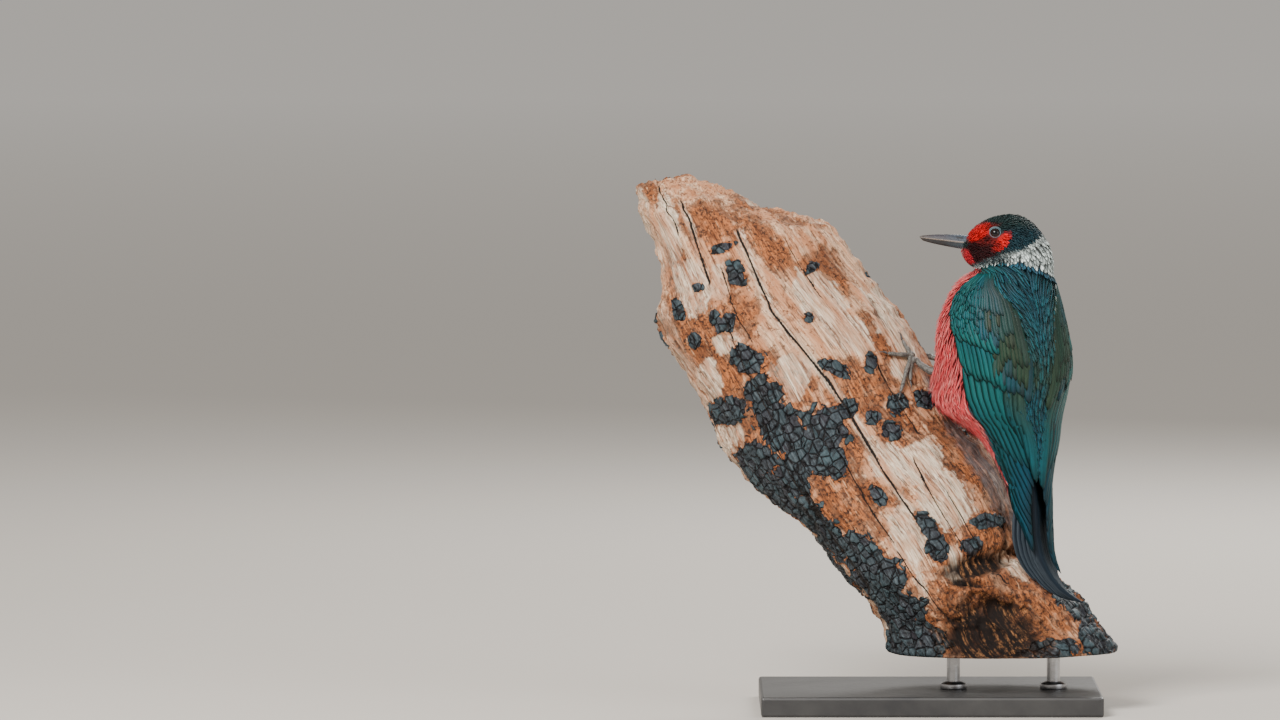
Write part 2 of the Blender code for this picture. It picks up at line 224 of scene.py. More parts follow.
def add_object(name: str, data: bpy.types.ID) -> Piece:
    """Link new data to the scene as an object.

    Args:
        name: The piece's name.
        data: Its mesh, light or camera.

    Returns:
        The new object.
    """
    thing = bpy.data.objects.new(name, data)
    bpy.context.scene.collection.objects.link(thing)
    return thing


def signed_volume(points: Array, faces: Array) -> float:
    """Return the volume that four-sided faces enclose, below zero if they face inwards."""
    a, b, c, d = (points[faces[:, k]] for k in range(4))
    return float((np.cross(a, b) * c).sum() + (np.cross(a, c) * d).sum()) / 6


def mesh_object(name: str, points: Array, faces: Array, caps: Array | None = None) -> Piece:
    """Make an object from four-sided faces, with caps of another size.

    Args:
        name: The piece's name.
        points: Points in millimetres.
        faces: Point numbers, one face to a row. All are turned over if they face inwards.
        caps: More faces, of another size.

    Returns:
        The object, smooth shaded and linked to the scene.
    """
    mesh = bpy.data.meshes.new(name)
    groups = [faces] if caps is None else [faces, caps]
    if signed_volume(points - points.mean(0), faces) < 0:
        groups = [group[:, ::-1] for group in groups]
    corners = np.concatenate([group.ravel() for group in groups]).astype(np.int32)
    totals = np.concatenate([np.full(len(group), group.shape[1]) for group in groups]).astype(np.int32)
    starts = np.concatenate([[0], np.cumsum(totals)[:-1]]).astype(np.int32)
    mesh.vertices.add(len(points))
    mesh.vertices.foreach_set("co", (points * MM).astype(np.float32).ravel())
    mesh.loops.add(len(corners))
    mesh.loops.foreach_set("vertex_index", corners)
    mesh.polygons.add(len(totals))
    mesh.polygons.foreach_set("loop_start", starts)
    mesh.polygons.foreach_set("loop_total", totals)
    mesh.polygons.foreach_set("use_smooth", np.ones(len(totals), dtype=bool))
    mesh.update(calc_edges=True)
    mesh.validate()
    return add_object(name, mesh)


def tube_faces(rows: int, round_count: int, copies: int = 1) -> tuple[Array, Array]:
    """Number the faces of closed tubes made of rings.

    Args:
        rows: Rings in each tube.
        round_count: Points in each ring.
        copies: How many tubes follow each other.

    Returns:
        The four-sided faces, and the end caps.
    """
    row, k = np.meshgrid(np.arange(rows - 1), np.arange(round_count), indexing="ij")
    a = row * round_count + k
    b = row * round_count + (k + 1) % round_count
    sides = np.stack([a, b, b + round_count, a + round_count], axis=-1).reshape(-1, 4)
    ring = np.arange(round_count)
    ends = np.stack([ring[::-1], ring + (rows - 1) * round_count])
    step = np.arange(copies)[:, None, None] * rows * round_count
    return (sides[None] + step).reshape(-1, 4), (ends[None] + step).reshape(-1, round_count)


def put_attribute(thing: Piece, name: str, values: Array) -> None:
    """Store values for each point of a piece.

    Args:
        thing: The piece.
        name: The attribute's name. The tint is stored as a colour.
        values: One number for each point, or three to a row.
    """
    kind, key = ("FLOAT", "value") if values.ndim == 1 else ("FLOAT_VECTOR", "vector")
    if name == "tint":
        kind, key = "FLOAT_COLOR", "color"
        values = np.concatenate([np.clip(values, 0.0, 1.0), np.ones((len(values), 1))], axis=1)
    layer = thing.data.attributes.new(name, kind, "POINT")
    layer.data.foreach_set(key, values.astype(np.float32).ravel())


def put_bake_map(thing: Piece, places: Array) -> None:
    """Give a piece the OFBake map.

    Args:
        thing: The piece.
        places: The map's two coordinates for each point.
    """
    layer = thing.data.uv_layers.new(name="OFBake")
    corner = np.zeros(len(thing.data.loops), dtype=np.int32)
    thing.data.loops.foreach_get("vertex_index", corner)
    layer.data.foreach_set("uv", places[corner].astype(np.float32).ravel())


def read_vectors(items: bpy.types.bpy_prop_collection, key: str) -> Array:
    """Read three numbers for each item of a mesh's list.

    Args:
        items: Vertices or polygons.
        key: The field to read.

    Returns:
        Rows of three.
    """
    flat = np.zeros(len(items) * 3, dtype=np.float32)
    items.foreach_get(key, flat)
    return flat.reshape(-1, 3).astype(float)


def points_of(thing: Piece) -> Array:
    """Return a piece's points in millimetres."""
    return read_vectors(thing.data.vertices, "co") / MM


def normals_of(thing: Piece) -> Array:
    """Return the direction that each point of a piece faces."""
    return read_vectors(thing.data.vertex_normals, "vector")


def move_points(thing: Piece, points: Array) -> None:
    """Give a piece's points new places, in millimetres."""
    thing.data.vertices.foreach_set("co", (points * MM).astype(np.float32).ravel())
    thing.data.update()


def select_only(thing: Piece) -> None:
    """Select one object and make it active.

    Args:
        thing: The object.
    """
    bpy.ops.object.select_all(action="DESELECT")
    thing.select_set(True)
    bpy.context.view_layer.objects.active = thing


def apply_all(thing: Piece) -> None:
    """Apply every modifier of a piece.

    Args:
        thing: The piece.
    """
    select_only(thing)
    for name in [modifier.name for modifier in thing.modifiers]:
        bpy.ops.object.modifier_apply(modifier=name)


def joined(name: str, parts: list[Piece]) -> Piece:
    """Join parts into one piece.

    Args:
        name: The new piece's name.
        parts: The parts, of which the first one is kept.

    Returns:
        The piece, selected and active.
    """
    select_only(parts[0])
    for part in parts:
        part.select_set(True)
    if len(parts) > 1:
        bpy.ops.object.join()
    thing = bpy.context.view_layer.objects.active
    thing.name = thing.data.name = name
    return thing


def merged_copy(name: str, *nodes: str) -> Piece:
    """Copy CAD nodes into one piece with its doubles merged.

    Args:
        name: The new piece's name.
        nodes: The CAD nodes to copy.

    Returns:
        The copy. The CAD nodes are left as they are.
    """
    copies = []
    for node in nodes:
        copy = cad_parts[node].copy()
        copy.data = copy.data.copy()
        copy.parent = None
        bpy.context.scene.collection.objects.link(copy)
        copies.append(copy)
    thing = joined(name, copies)
    thing.data.materials.clear()
    bpy.ops.object.mode_set(mode="EDIT")
    bpy.ops.mesh.select_all(action="SELECT")
    bpy.ops.mesh.remove_doubles(threshold=0.01 * MM)
    bpy.ops.object.mode_set(mode="OBJECT")
    return thing


def remesh(thing: Piece, size: float, rounds: int) -> None:
    """Give a piece one even skin of small faces, and smooth it.

    Args:
        thing: The piece.
        size: The faces' size in millimetres.
        rounds: How many times it is smoothed.
    """
    skin = thing.modifiers.new("one_skin", "REMESH")
    skin.mode, skin.voxel_size = "VOXEL", size * MM
    smooth = thing.modifiers.new("smooth", "SMOOTH")
    smooth.factor, smooth.iterations = 0.5, rounds
    apply_all(thing)


def finish_piece(thing: Piece, material: Material, slot: str, *nodes: str) -> None:
    """Dress a piece and hand it to the frame.

    Args:
        thing: The finished piece.
        material: Its material.
        slot: The record's material slot; not used.
        nodes: The CAD nodes that it stands for.
    """
    thing.data.materials.clear()
    thing.data.materials.append(material)
    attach(thing, "root")
    if nodes:
        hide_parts(*nodes)
    thing.data.calc_loop_triangles()
    LOG.info("%s: %d triangles", thing.name, len(thing.data.loop_triangles))


class Shader:
    """Short way to write a material's node tree."""

    def __init__(self, name: str, **values: float) -> None:
        """Start a material.

        Args:
            name: The material's name.
            values: Principled socket values by name, with _ for a space.
        """
        self.material = bpy.data.materials.new(name)
        self.material.use_nodes = True
        self.tree = self.material.node_tree
        self.surface = self.tree.nodes["Principled BSDF"]
        for key, value in values.items():
            self.surface.inputs[key.replace("_", " ")].default_value = value

    def node(self, kind: str, inputs: dict | None = None, **settings: object) -> bpy.types.Node:
        """Add a node.

        Args:
            kind: The node's type, without ShaderNode.
            inputs: Sockets by name or number, each given a value or a linked socket.
            settings: The node's own settings.

        Returns:
            The new node.
        """
        made = self.tree.nodes.new("ShaderNode" + kind)
        for key, value in settings.items():
            setattr(made, key, value)
        for key, value in (inputs or {}).items():
            self.feed(made.inputs[key], value)
        return made

    def feed(self, socket: Socket, value: object) -> None:
        """Link a socket to another, or set its value.

        Args:
            socket: The input.
            value: A socket or a value.
        """
        if isinstance(value, Socket):
            self.tree.links.new(value, socket)
        else:
            socket.default_value = value

    def math(self, how: str, *values: object) -> Socket:
        """Return the result of a sum on one to three values."""
        return self.node("Math", dict(enumerate(values)), operation=how).outputs[0]

    def times(self, first: object, second: object) -> Socket:
        """Return one value times another."""
        return self.math("MULTIPLY", first, second)

    def vector(self, *values: object) -> Socket:
        """Return three values as a vector."""
        return self.node("CombineXYZ", dict(enumerate(values))).outputs[0]

    def mix(self, share: object, first: object, second: object, how: str = "MIX") -> Socket:
        """Return two colours mixed by a share.

        Args:
            share: The second colour's share.
            first: A colour as a socket or as three numbers.
            second: The other colour.
            how: The kind of mix.

        Returns:
            The mixed colour.
        """
        made = self.node("Mix", data_type="RGBA", blend_type=how)
        for k, value in ((0, share), (6, first), (7, second)):
            self.feed(made.inputs[k], (*value, 1.0) if isinstance(value, tuple) else value)
        return made.outputs[2]

    def shade(self, colour: object, level: Socket) -> Socket:
        """Return a colour darkened by a level."""
        return self.mix(1.0, colour, level, "MULTIPLY")

    def coats(self, colour: object, *coats: tuple) -> Socket:
        """Lay colours over another.

        Args:
            colour: The first colour.
            coats: For each further colour a value, the two steps that turn it into a share, and the colour.

        Returns:
            The result.
        """
        for value, low, high, over in coats:
            colour = self.mix(self.steps(value, low, high), colour, over)
        return colour

    def noise(self, where: object, scale: float, detail: float = 4.0, rough: float = 0.6) -> Socket:
        """Return a noise value at a place."""
        inputs = {"Vector": where, "Scale": scale, "Detail": detail, "Roughness": rough}
        return self.node("TexNoise", inputs).outputs["Fac"]

    def steps(self, value: object, *stops: tuple[float, float]) -> Socket:
        """Pass a value through straight steps.

        Args:
            value: The value.
            stops: For each step a place, 0 to 1, and the level there.

        Returns:
            The level.
        """
        ramp = self.node("ValToRGB", {"Fac": value})
        marks = ramp.color_ramp.elements
        marks[0].position, marks[1].position = stops[0][0], stops[-1][0]
        for place, _ in stops[1:-1]:
            marks.new(place)
        for mark, (_, level) in zip(marks, stops):
            mark.color = (level, level, level, 1.0)
        return ramp.outputs["Color"]

    def attribute(self, name: str, output: str = "Fac") -> Socket:
        """Return a stored attribute of the piece."""
        return self.node("Attribute", attribute_name=name).outputs[output]

    def place(self, scale: tuple = (1.0, 1.0, 1.0)) -> Socket:
        """Read the piece's own coordinates.

        Args:
            scale: Scale along each axis.

        Returns:
            The place in millimetres, scaled.
        """
        coords = self.node("TexCoord").outputs["Object"]
        grown = self.node("Mapping", {"Vector": coords, "Scale": (1 / MM,) * 3}).outputs[0]
        return self.node("Mapping", {"Vector": grown, "Scale": scale}).outputs[0]

    def bump(self, height: object, distance: float, strength: float = 1.0, under: object = None) -> Socket:
        """Raise a normal by a height.

        Args:
            height: The height.
            distance: How far a height of 1 stands out, in metres.
            strength: The bump's share.
            under: Another normal below this one.

        Returns:
            The normal.
        """
        inputs = {"Height": height, "Distance": distance, "Strength": strength}
        if under is not None:
            inputs["Normal"] = under
        return self.node("Bump", inputs).outputs[0]

    def wear(self, **links: object) -> None:
        """Feed the surface's sockets by name, with _ for a space."""
        for key, value in links.items():
            self.feed(self.surface.inputs[key.replace("_", " ")], value)


# ---- The bird's form ----
@dataclass
class BirdForm:
    """Outline of the bird as rings along its length, from the base of the bill to the wing tips.

    A place is a length along the bird and an angle round it. The angle is 0 at +X, a quarter turn at
    the display side and a half turn at -X, so on the head it runs from crown to throat.
    """

    turn: float = math.radians(55.0)
    head_y: float = -10.0
    head: tuple = (
        (21.9, 283.7, 17.7, 276.2, 4.0), (23.7, 286.4, 18.3, 273.5, 7.0), (27.0, 289.8, 19.8, 270.5, 9.6),
        (31.8, 292.9, 21.6, 268.1, 11.6), (37.8, 295.4, 23.4, 266.5, 13.0), (44.4, 296.6, 24.6, 265.7, 13.9),
        (51.0, 296.4, 25.4, 265.1, 14.6), (57.6, 294.1, 25.6, 264.6, 15.5), (63.6, 289.1, 25.4, 264.1, 16.9),
        (68.4, 282.8, 25.0, 263.7, 18.8), (71.7, 275.6, 24.4, 263.2, 21.0), (73.1, 269.3, 23.6, 262.9, 23.0),
    )
    body: tuple = (
        (262.1, 48.1, -10.0, 25.1, 25.1), (255.4, 45.3, -9.0, 29.7, 29.7), (241.5, 43.3, -8.0, 35.3, 35.3),
        (224.7, 43.0, -8.0, 39.7, 38.9), (212.1, 44.0, -8.0, 41.1, 39.9), (198.9, 43.4, -8.0, 41.8, 39.7),
        (185.7, 42.1, -9.0, 41.2, 37.9), (178.7, 43.5, -12.0, 38.4, 33.8), (171.1, 48.5, -16.0, 32.5, 26.0),
        (162.3, 53.3, -20.0, 26.7, 19.2), (153.5, 55.8, -22.5, 22.6, 14.9), (145.1, 57.2, -24.0, 19.7, 12.2),
        (135.6, 58.6, -25.0, 16.8, 10.2), (126.0, 59.4, -25.5, 16.5, 9.3), (114.6, 60.0, -26.0, 16.3, 8.8),
        (102.0, 61.5, -26.5, 16.0, 8.3), (95.4, 63.0, -27.0, 15.8, 8.0), (81.2, 70.2, -30.0, 15.0, 7.0),
    )
    wing: tuple = (
        (0.000, 90.0, 64.0), (0.066, 97.0, 46.0), (0.128, 94.0, 37.0), (0.216, 81.0, 28.0),
        (0.300, 76.0, 23.0), (0.467, 62.0, 16.0), (0.536, 67.0, 13.0), (0.612, 87.0, 11.0),
        (0.663, 95.0, 10.0), (0.761, 93.0, 8.0), (0.820, 80.0, 8.0), (0.890, 52.0, 8.0),
        (0.966, 38.0, 13.0), (1.000, 31.0, 24.0),
    )
    wing_top: float = 259.6
    wing_length: float = 164.2
    right_drop: float = 0.2157
    drop_from: float = 0.6
    fine_rows: int = 1500
    probe: float = 0.15

    def __post_init__(self) -> None:
        """Work out the rings and a fine table of them."""
        self.back = np.array([math.cos(self.turn), -math.sin(self.turn), 0.0])
        self.left = np.array([-math.sin(self.turn), -math.cos(self.turn), 0.0])
        rings = []
        for crown_x, crown_z, throat_x, throat_z, half_width in self.head:
            crown = np.array([crown_x, self.head_y, crown_z])
            throat = np.array([throat_x, self.head_y, throat_z])
            across = np.array([0.0, -half_width, 0.0])
            rings.append(np.concatenate([(crown + throat) / 2, (crown - throat) / 2, across]))
        self.head_rings = len(rings)
        sin, cos = math.sin(self.turn), math.cos(self.turn)
        for height, x, y, half_across, half_deep in self.body:
            toward_x = -half_across * sin * self.left + half_deep * cos * self.back
            toward_front = half_across * cos * self.left + half_deep * sin * self.back
            rings.append(np.concatenate([[x, y, height], toward_x, toward_front]))
        rings = np.array(rings)
        steps = np.linalg.norm(np.diff(rings[:, :3], axis=0), axis=1)
        self.knots = np.concatenate([[0.0], np.cumsum(steps)])
        self.fine = np.linspace(0.0, self.knots[-1], self.fine_rows)
        self.rings = np.stack([self._smooth(rings[:, c]) for c in range(9)], axis=1)
        self.neck_end = self.knots[self.head_rings]
        self.whole = self.knots[-1]

    def _smooth(self, values: Array) -> Array:
        """Draw a smooth curve through the rings' values and read it finely.

        Args:
            values: One number for each ring.

        Returns:
            One number for each of the fine steps.
        """
        slopes = np.gradient(values, self.knots)
        k = np.clip(np.searchsorted(self.knots, self.fine, side="right") - 1, 0, len(self.knots) - 2)
        span = self.knots[k + 1] - self.knots[k]
        t = (self.fine - self.knots[k]) / span
        return (values[k] * (1 + 2 * t) * (1 - t) ** 2 + values[k + 1] * t * t * (3 - 2 * t)
                + slopes[k] * span * t * (1 - t) ** 2 - slopes[k + 1] * span * t * t * (1 - t))

    def ring(self, along: Array) -> Array:
        """Read the ring's numbers at lengths along the bird.

        Args:
            along: Lengths along the bird, in millimetres.

        Returns:
            Centre and the two half axes, nine numbers for each length.
        """
        place = np.clip(along / self.whole, 0.0, 1.0) * (len(self.fine) - 1)
        low = np.minimum(place.astype(int), len(self.fine) - 2)
        part = (place - low)[..., None]
        return self.rings[low] * (1 - part) + self.rings[low + 1] * part

    def surface(self, along: Array, angle: Array) -> Array:
        """Read the outline.

        Args:
            along: Lengths along the bird, in millimetres.
            angle: Angles round the bird, in radians.

        Returns:
            Points in millimetres.
        """
        ring = self.ring(along)
        cos, sin = np.cos(angle)[..., None], np.sin(angle)[..., None]
        return ring[..., :3] + ring[..., 3:6] * cos + ring[..., 6:9] * sin

    def slopes(self, along: Array, angle: Array) -> tuple[Array, Array, Array]:
        """Measure how the outline lies.

        Args:
            along: Lengths along the bird.
            angle: Angles round it.

        Returns:
            The way the surface runs down the bird, the way it runs round, and the way it faces.
        """
        low, high = np.maximum(along - self.probe, 0.0), np.minimum(along + self.probe, self.whole)
        down = (self.surface(high, angle) - self.surface(low, angle)) / (high - low)[..., None]
        ring = self.ring(along)
        cos, sin = np.cos(angle)[..., None], np.sin(angle)[..., None]
        around = ring[..., 6:9] * cos - ring[..., 3:6] * sin
        normal = unit(np.cross(down, around))
        outward = ring[..., 3:6] * cos + ring[..., 6:9] * sin
        sign = np.sign((normal * outward).sum(-1))[..., None]
        return down, around, normal * np.where(sign == 0, 1.0, sign)

    def point(self, along: Array, angle: Array, depth: Array) -> Array:
        """Return points sunk below the outline, in millimetres."""
        return self.surface(along, angle) - self.slopes(along, angle)[2] * np.asarray(depth)[..., None]

    def step(self, along: Array, angle: Array, way: Array) -> tuple[Array, Array]:
        """Turn a short way in space into a change of place on the outline.

        Args:
            along: Lengths along the bird.
            angle: Angles round it.
            way: Short ways in millimetres, one to a row.

        Returns:
            The changes in length and in angle.
        """
        down, around, _ = self.slopes(along, angle)
        dd, da, aa = (down * down).sum(-1), (down * around).sum(-1), (around * around).sum(-1)
        wd, wa = (way * down).sum(-1), (way * around).sum(-1)
        scale = dd * aa - da * da + 1e-9
        return (wd * aa - wa * da) / scale, (wa * dd - wd * da) / scale

    def along_at(self, height: Array) -> Array:
        """Return the length along the bird where the trunk has a height."""
        trunk = np.array([row[0] for row in self.body])
        return np.interp(-np.asarray(height), -trunk, self.knots[self.head_rings:])

    def from_spine(self, angle: Array) -> Array:
        """Return degrees round from the spine, above zero on the bird's left."""
        return (np.degrees(angle - self.turn) + 180.0) % 360.0 - 180.0

    def wing_edges(self, share: Array) -> tuple[Array, Array]:
        """Return the wing's leading and back edges in degrees round from the spine."""
        table = np.array(self.wing)
        return np.interp(share, table[:, 0], table[:, 1]), np.interp(share, table[:, 0], table[:, 2])

    def wing_share(self, height: Array) -> Array:
        """Return the share of the wing's length at a height."""
        return (self.wing_top - np.asarray(height)) / self.wing_length

    def wing_place(self, share: Array, across: Array, side: int) -> tuple[Array, Array]:
        """Turn a place on a folded wing into a place on the bird's form.

        Args:
            share: Share of the wing's length, 0 at the shoulder.
            across: 0 at the leading edge, 1 at the back edge.
            side: 1 for the left wing, -1 for the right, whose tip hangs lower.

        Returns:
            Length along the bird and angle round it.
        """
        stretch = self.right_drop * np.maximum(0.0, share - self.drop_from) if side < 0 else 0.0
        height = self.wing_top - self.wing_length * (share + stretch)
        lead, back = self.wing_edges(np.clip(share, 0.0, 1.0))
        degrees = side * (lead + (back - lead) * across)
        return self.along_at(height), np.radians(degrees) + self.turn


# ---- Plumage colours ----
class Tone(Enum):
    """Plumage colours, in linear light."""

    CROWN = (0.012, 0.034, 0.034)
    EAR = (0.010, 0.040, 0.055)
    SCARLET = (0.80, 0.006, 0.008)
    CRIMSON = (0.180, 0.010, 0.009)
    MAROON = (0.028, 0.0015, 0.003)
    THROAT = (0.62, 0.020, 0.035)
    SILVER = (0.62, 0.70, 0.68)
    SLATE = (0.014, 0.030, 0.036)
    BREAST = (0.36, 0.38, 0.37)
    ROSE = (0.80, 0.046, 0.062)
    BLUSH = (0.98, 0.34, 0.31)
    MANTLE = (0.005, 0.060, 0.100)
    TEAL = (0.003, 0.080, 0.098)
    SEA = (0.003, 0.098, 0.100)
    OLIVE = (0.026, 0.050, 0.030)
    BRONZE = (0.032, 0.042, 0.026)
    DEEP = (0.004, 0.048, 0.078)
    INK = (0.007, 0.013, 0.018)
    TAIL = (0.008, 0.014, 0.022)

    def rows(self, count: int) -> Array:
        """Return the colour repeated on a number of rows."""
        return np.tile(self.value, (count, 1))


@dataclass
class Markings:
    """Which colour lies where on the bird's body and head."""

    form: BirdForm
    noise: Noise = field(default_factory=lambda: Noise(Seed.MARKINGS))
    collar_top: tuple = ((24.0, 39.6, 47.4, 55.2, 59.4, 64.5, 72.0),
                         (266.8, 273.0, 274.4, 276.3, 278.7, 282.2, 288.0))
    collar_foot: tuple = ((20.0, 25.8, 41.4, 55.2, 64.5, 71.4, 76.0),
                          (263.9, 265.0, 268.8, 268.9, 266.4, 261.4, 257.0))
    dark_face: tuple = (
        (Tone.MAROON, (30.0, 275.0), (9.5, 8.0), -20, 0.25, 1.0),
        (Tone.MAROON, (35.5, 279.0), (8.0, 5.0), 0, 0.25, 1.0),
    )
    red_face: tuple = (
        (Tone.CRIMSON, (33.6, 283.6), (6.5, 4.6), 20, 0.35, 1.0),
        (Tone.SCARLET, (28.9, 286.6), (8.6, 3.7), 33, 0.22, 1.0),
        (Tone.SCARLET, (42.6, 281.0), (6.9, 3.6), 50, 0.22, 1.0),
        (Tone.CRIMSON, (39.0, 278.6), (3.4, 2.6), 20, 0.5, 0.8),
        (Tone.CRIMSON, (36.5, 290.4), (4.6, 1.5), 12, 0.6, 0.75),
        (Tone.MAROON, (33.4, 282.6), (2.4, 1.8), 40, 0.6, 0.7),
    )

    def patches(self, colour: Array, points: Array, table: tuple) -> Array:
        """Lay soft tilted ovals of colour on the side of the head.

        Args:
            colour: The colours so far.
            points: Points in millimetres.
            table: For each oval a tone, its middle, sizes and tilt, how soft its edge is and its share.

        Returns:
            The new colours.
        """
        for tone, centre, sizes, degrees, soft, share in table:
            level = 1 - ease(oval(points, centre, sizes, degrees), 1 - soft, 1 + soft)
            colour = blend(colour, tone.value, level * share)
        return colour

    def collar(self, points: Array) -> tuple[Array, Array]:
        """Measure how far points lie within the collar's two edges.

        Args:
            points: Points in millimetres.

        Returns:
            Height above its foot and depth below its top, in millimetres.
        """
        above = points[:, 2] - np.interp(points[:, 0], *self.collar_foot)
        below = np.interp(points[:, 0], *self.collar_top) - points[:, 2]
        return above, below

    def underside(self, points: Array, angle: Array) -> Array:
        """Tell breast and belly from the wings and back.

        Args:
            points: Points in millimetres.
            angle: Angles round the bird, in radians.

        Returns:
            1 on the underside, fading to 0 at the wings' leading edges.
        """
        round_from_spine = np.abs(self.form.from_spine(angle))
        lead, _ = self.form.wing_edges(np.clip(self.form.wing_share(points[:, 2]), 0.0, 1.0))
        return ease(round_from_spine - lead, -3.0, 3.0)

    def colours(self, points: Array, angle: Array) -> Array:
        """Return the plumage colour at points on the outline.

        Args:
            points: Points in millimetres.
            angle: Their angles round the bird.

        Returns:
            One colour to a row, in linear light.
        """
        wobble = self.noise.layered(points * 0.45, 3)
        points = points + wobble[:, None] * np.array([0.9, 0.0, 0.7])
        above_foot, below_top = self.collar(points)
        return np.where((above_foot > 0)[:, None], self.head_colours(points, above_foot, below_top),
                        self.body_colours(points, angle))

    def head_colours(self, points: Array, above_foot: Array, below_top: Array) -> Array:
        """Colour crown, face, throat and collar.

        Args:
            points: Points in millimetres.
            above_foot: How far they are above the collar's foot.
            below_top: How far they are below its top.

        Returns:
            One colour to a row.
        """
        x, z = points[:, 0], points[:, 2]
        ear = ease(x, 40, 48) * (1 - ease(z, 286, 292))
        colour = blend(Tone.CROWN.rows(len(points)), Tone.EAR.value, ear)
        colour = self.patches(colour, points, self.dark_face)
        throat = (1 - ease(x - (17.0 + (276.5 - z) * 0.50), 3.6, 6.2)) * (1 - ease(z, 275.0, 277.0))
        colour = self.patches(blend(colour, Tone.THROAT.value, throat), points, self.red_face)
        silver = ease(below_top, -0.4, 0.6)
        sparse = 1 - ease(x, 38.0, 52.0)
        fleck = ease(self.noise(points * 1.1 + 30.0) - 0.45 * sparse, -0.45, 0.20)
        bright = np.maximum((0.35 + 0.65 * (1 - sparse)) * (0.30 - 0.25 * sparse + 0.70 * fleck),
                            0.6 * sparse * (1 - ease(above_foot, 0.4, 1.3)))
        light = blend(Tone.SLATE.rows(len(points)), Tone.SILVER.value, bright)
        return blend(colour, light, silver)

    def body_colours(self, points: Array, angle: Array) -> Array:
        """Colour back, shoulders, breast and belly.

        Args:
            points: Points in millimetres.
            angle: Their angles round the bird.

        Returns:
            One colour to a row.
        """
        z, count = points[:, 2], len(points)
        degrees = np.abs(self.form.from_spine(angle))
        mottle = self.noise.layered(points * 0.09, 3)
        colour = blend(Tone.MANTLE.rows(count), Tone.TEAL.value,
                       np.clip(ease(degrees, 38, 70) + mottle * 0.25, 0, 1))
        # The olive-bronze patches on back and shoulders are partly the plumage's own tone and partly a
        # painted sheen.
        olive = np.exp(-((degrees - 36 - mottle * 14) / 24) ** 2 - ((z - 221 - mottle * 12) / 21) ** 2)
        olive += 0.7 * np.exp(-((degrees - 6) / 20) ** 2 - ((z - 203 - mottle * 14) / 14) ** 2)
        olive_tone_and_sheen = blend(Tone.OLIVE.rows(count), Tone.BRONZE.value, ease(mottle, -0.25, 0.25))
        colour = blend(colour, olive_tone_and_sheen, np.clip(olive * 1.15, 0, 1))
        pale = ease(z + mottle * 6, 236, 252) * ease(degrees, 118, 150)
        under = blend(Tone.ROSE.rows(count), Tone.BREAST.value, pale)
        under = blend(under, Tone.INK.value, sink(z, 160, 148) * ease(degrees, 90, 115))
        return blend(colour, under, self.underside(points, angle))


# ---- Feathers ----
@dataclass
class Vane:
    """Shape of one kind of feather: a closed leaf with a raised shaft and drooping edges."""

    rows: int = 6
    ribs: int = 4
    root_width: float = 0.45
    widest: float = 0.62
    point: float = 0.5
    keel: float = 0.12
    droop: float = 0.18
    thick: float = 0.10

    def shares(self) -> Array:
        """Return the shares of a feather's length at which its rows lie."""
        even = np.linspace(0.0, 1.0, self.rows)
        return 1 - (1 - even) ** 1.35

    def width(self, share: Array) -> Array:
        """Shape the vane's outline.

        Args:
            share: Share of the length from the root.

        Returns:
            The half width there as a share of the widest.
        """
        swell = np.sin(np.clip(share / self.widest, 0, 1) * math.pi / 2)
        rise = self.root_width + (1 - self.root_width) * swell
        past = np.clip((share - self.widest) / (1 - self.widest), 0, 1)
        return rise * np.clip(1 - past ** 2, 0.0, 1.0) ** self.point + 0.03

    def places(self) -> tuple[Array, Array]:
        """List the ribs round the vane.

        Returns:
            Each rib's place across, -1 to 1, and whether it is on the top face.
        """
        over = self.ribs // 2 + 1
        line = np.linspace(-1, 1, over)
        top = np.arange(self.ribs) < over
        return np.concatenate([line, line[::-1][1:-1]]), top

    def lift(self, across: float, top: bool, half: Array) -> Array:
        """Raise or sink one rib over the feather's middle line.

        Args:
            across: The rib's place, -1 to 1.
            top: True on the top face.
            half: Half widths, in millimetres.

        Returns:
            Heights, in millimetres.
        """
        far = abs(across)
        crest = (1 - far) * self.keel
        return crest - self.droop * half * far ** 2 - (0.0 if top else self.thick * (1 - 0.5 * far ** 2))


@dataclass
class Plumes:
    """Feathers of one coat piece, laid out before they become a mesh."""

    form: BirdForm
    vane: Vane
    along: Array
    angle: Array
    height: Array
    half: Array
    colour: Array
    random: Array
    tip: Array | None = None
    tilt: Array | None = None
    crisp: float = 1.0

    def mesh(self, name: str) -> Piece:
        """Build the feathers as one joined mesh.

        Args:
            name: The coat piece's name.

        Returns:
            The piece, with the attributes tint, vane and share, and the OFBake map.
        """
        form, vane = self.form, self.vane
        count, rows = self.along.shape
        _, _, normal = form.slopes(self.along, self.angle)
        middle = form.surface(self.along, self.angle) + normal * self.height[..., None]
        side = unit(np.cross(normal, unit(np.gradient(middle, axis=1))))
        across, top = vane.places()
        rings = np.zeros((count, rows, vane.ribs, 3))
        for k in range(vane.ribs):
            out = side * (self.half * across[k])[..., None]
            ds, dangle = form.step(self.along, self.angle, out)
            along, angle = self.along + ds, self.angle + dangle
            lift = self.height + vane.lift(across[k], top[k], self.half)
            if self.tilt is not None:
                lift = lift + self.tilt[:, None] * self.half * across[k]
            rings[:, :, k] = form.surface(along, angle) + form.slopes(along, angle)[2] * lift[..., None]
        turn = (self.angle[:, 0] / (2 * math.pi)) % 1.0
        root = np.stack([turn, self.along[:, 0] / form.whole * 0.99], axis=1)
        tip = self.colour if self.tip is None else self.tip
        return leaf_mesh(name, rings, vane, self.half, self.random, self.colour, tip, root, self.crisp)


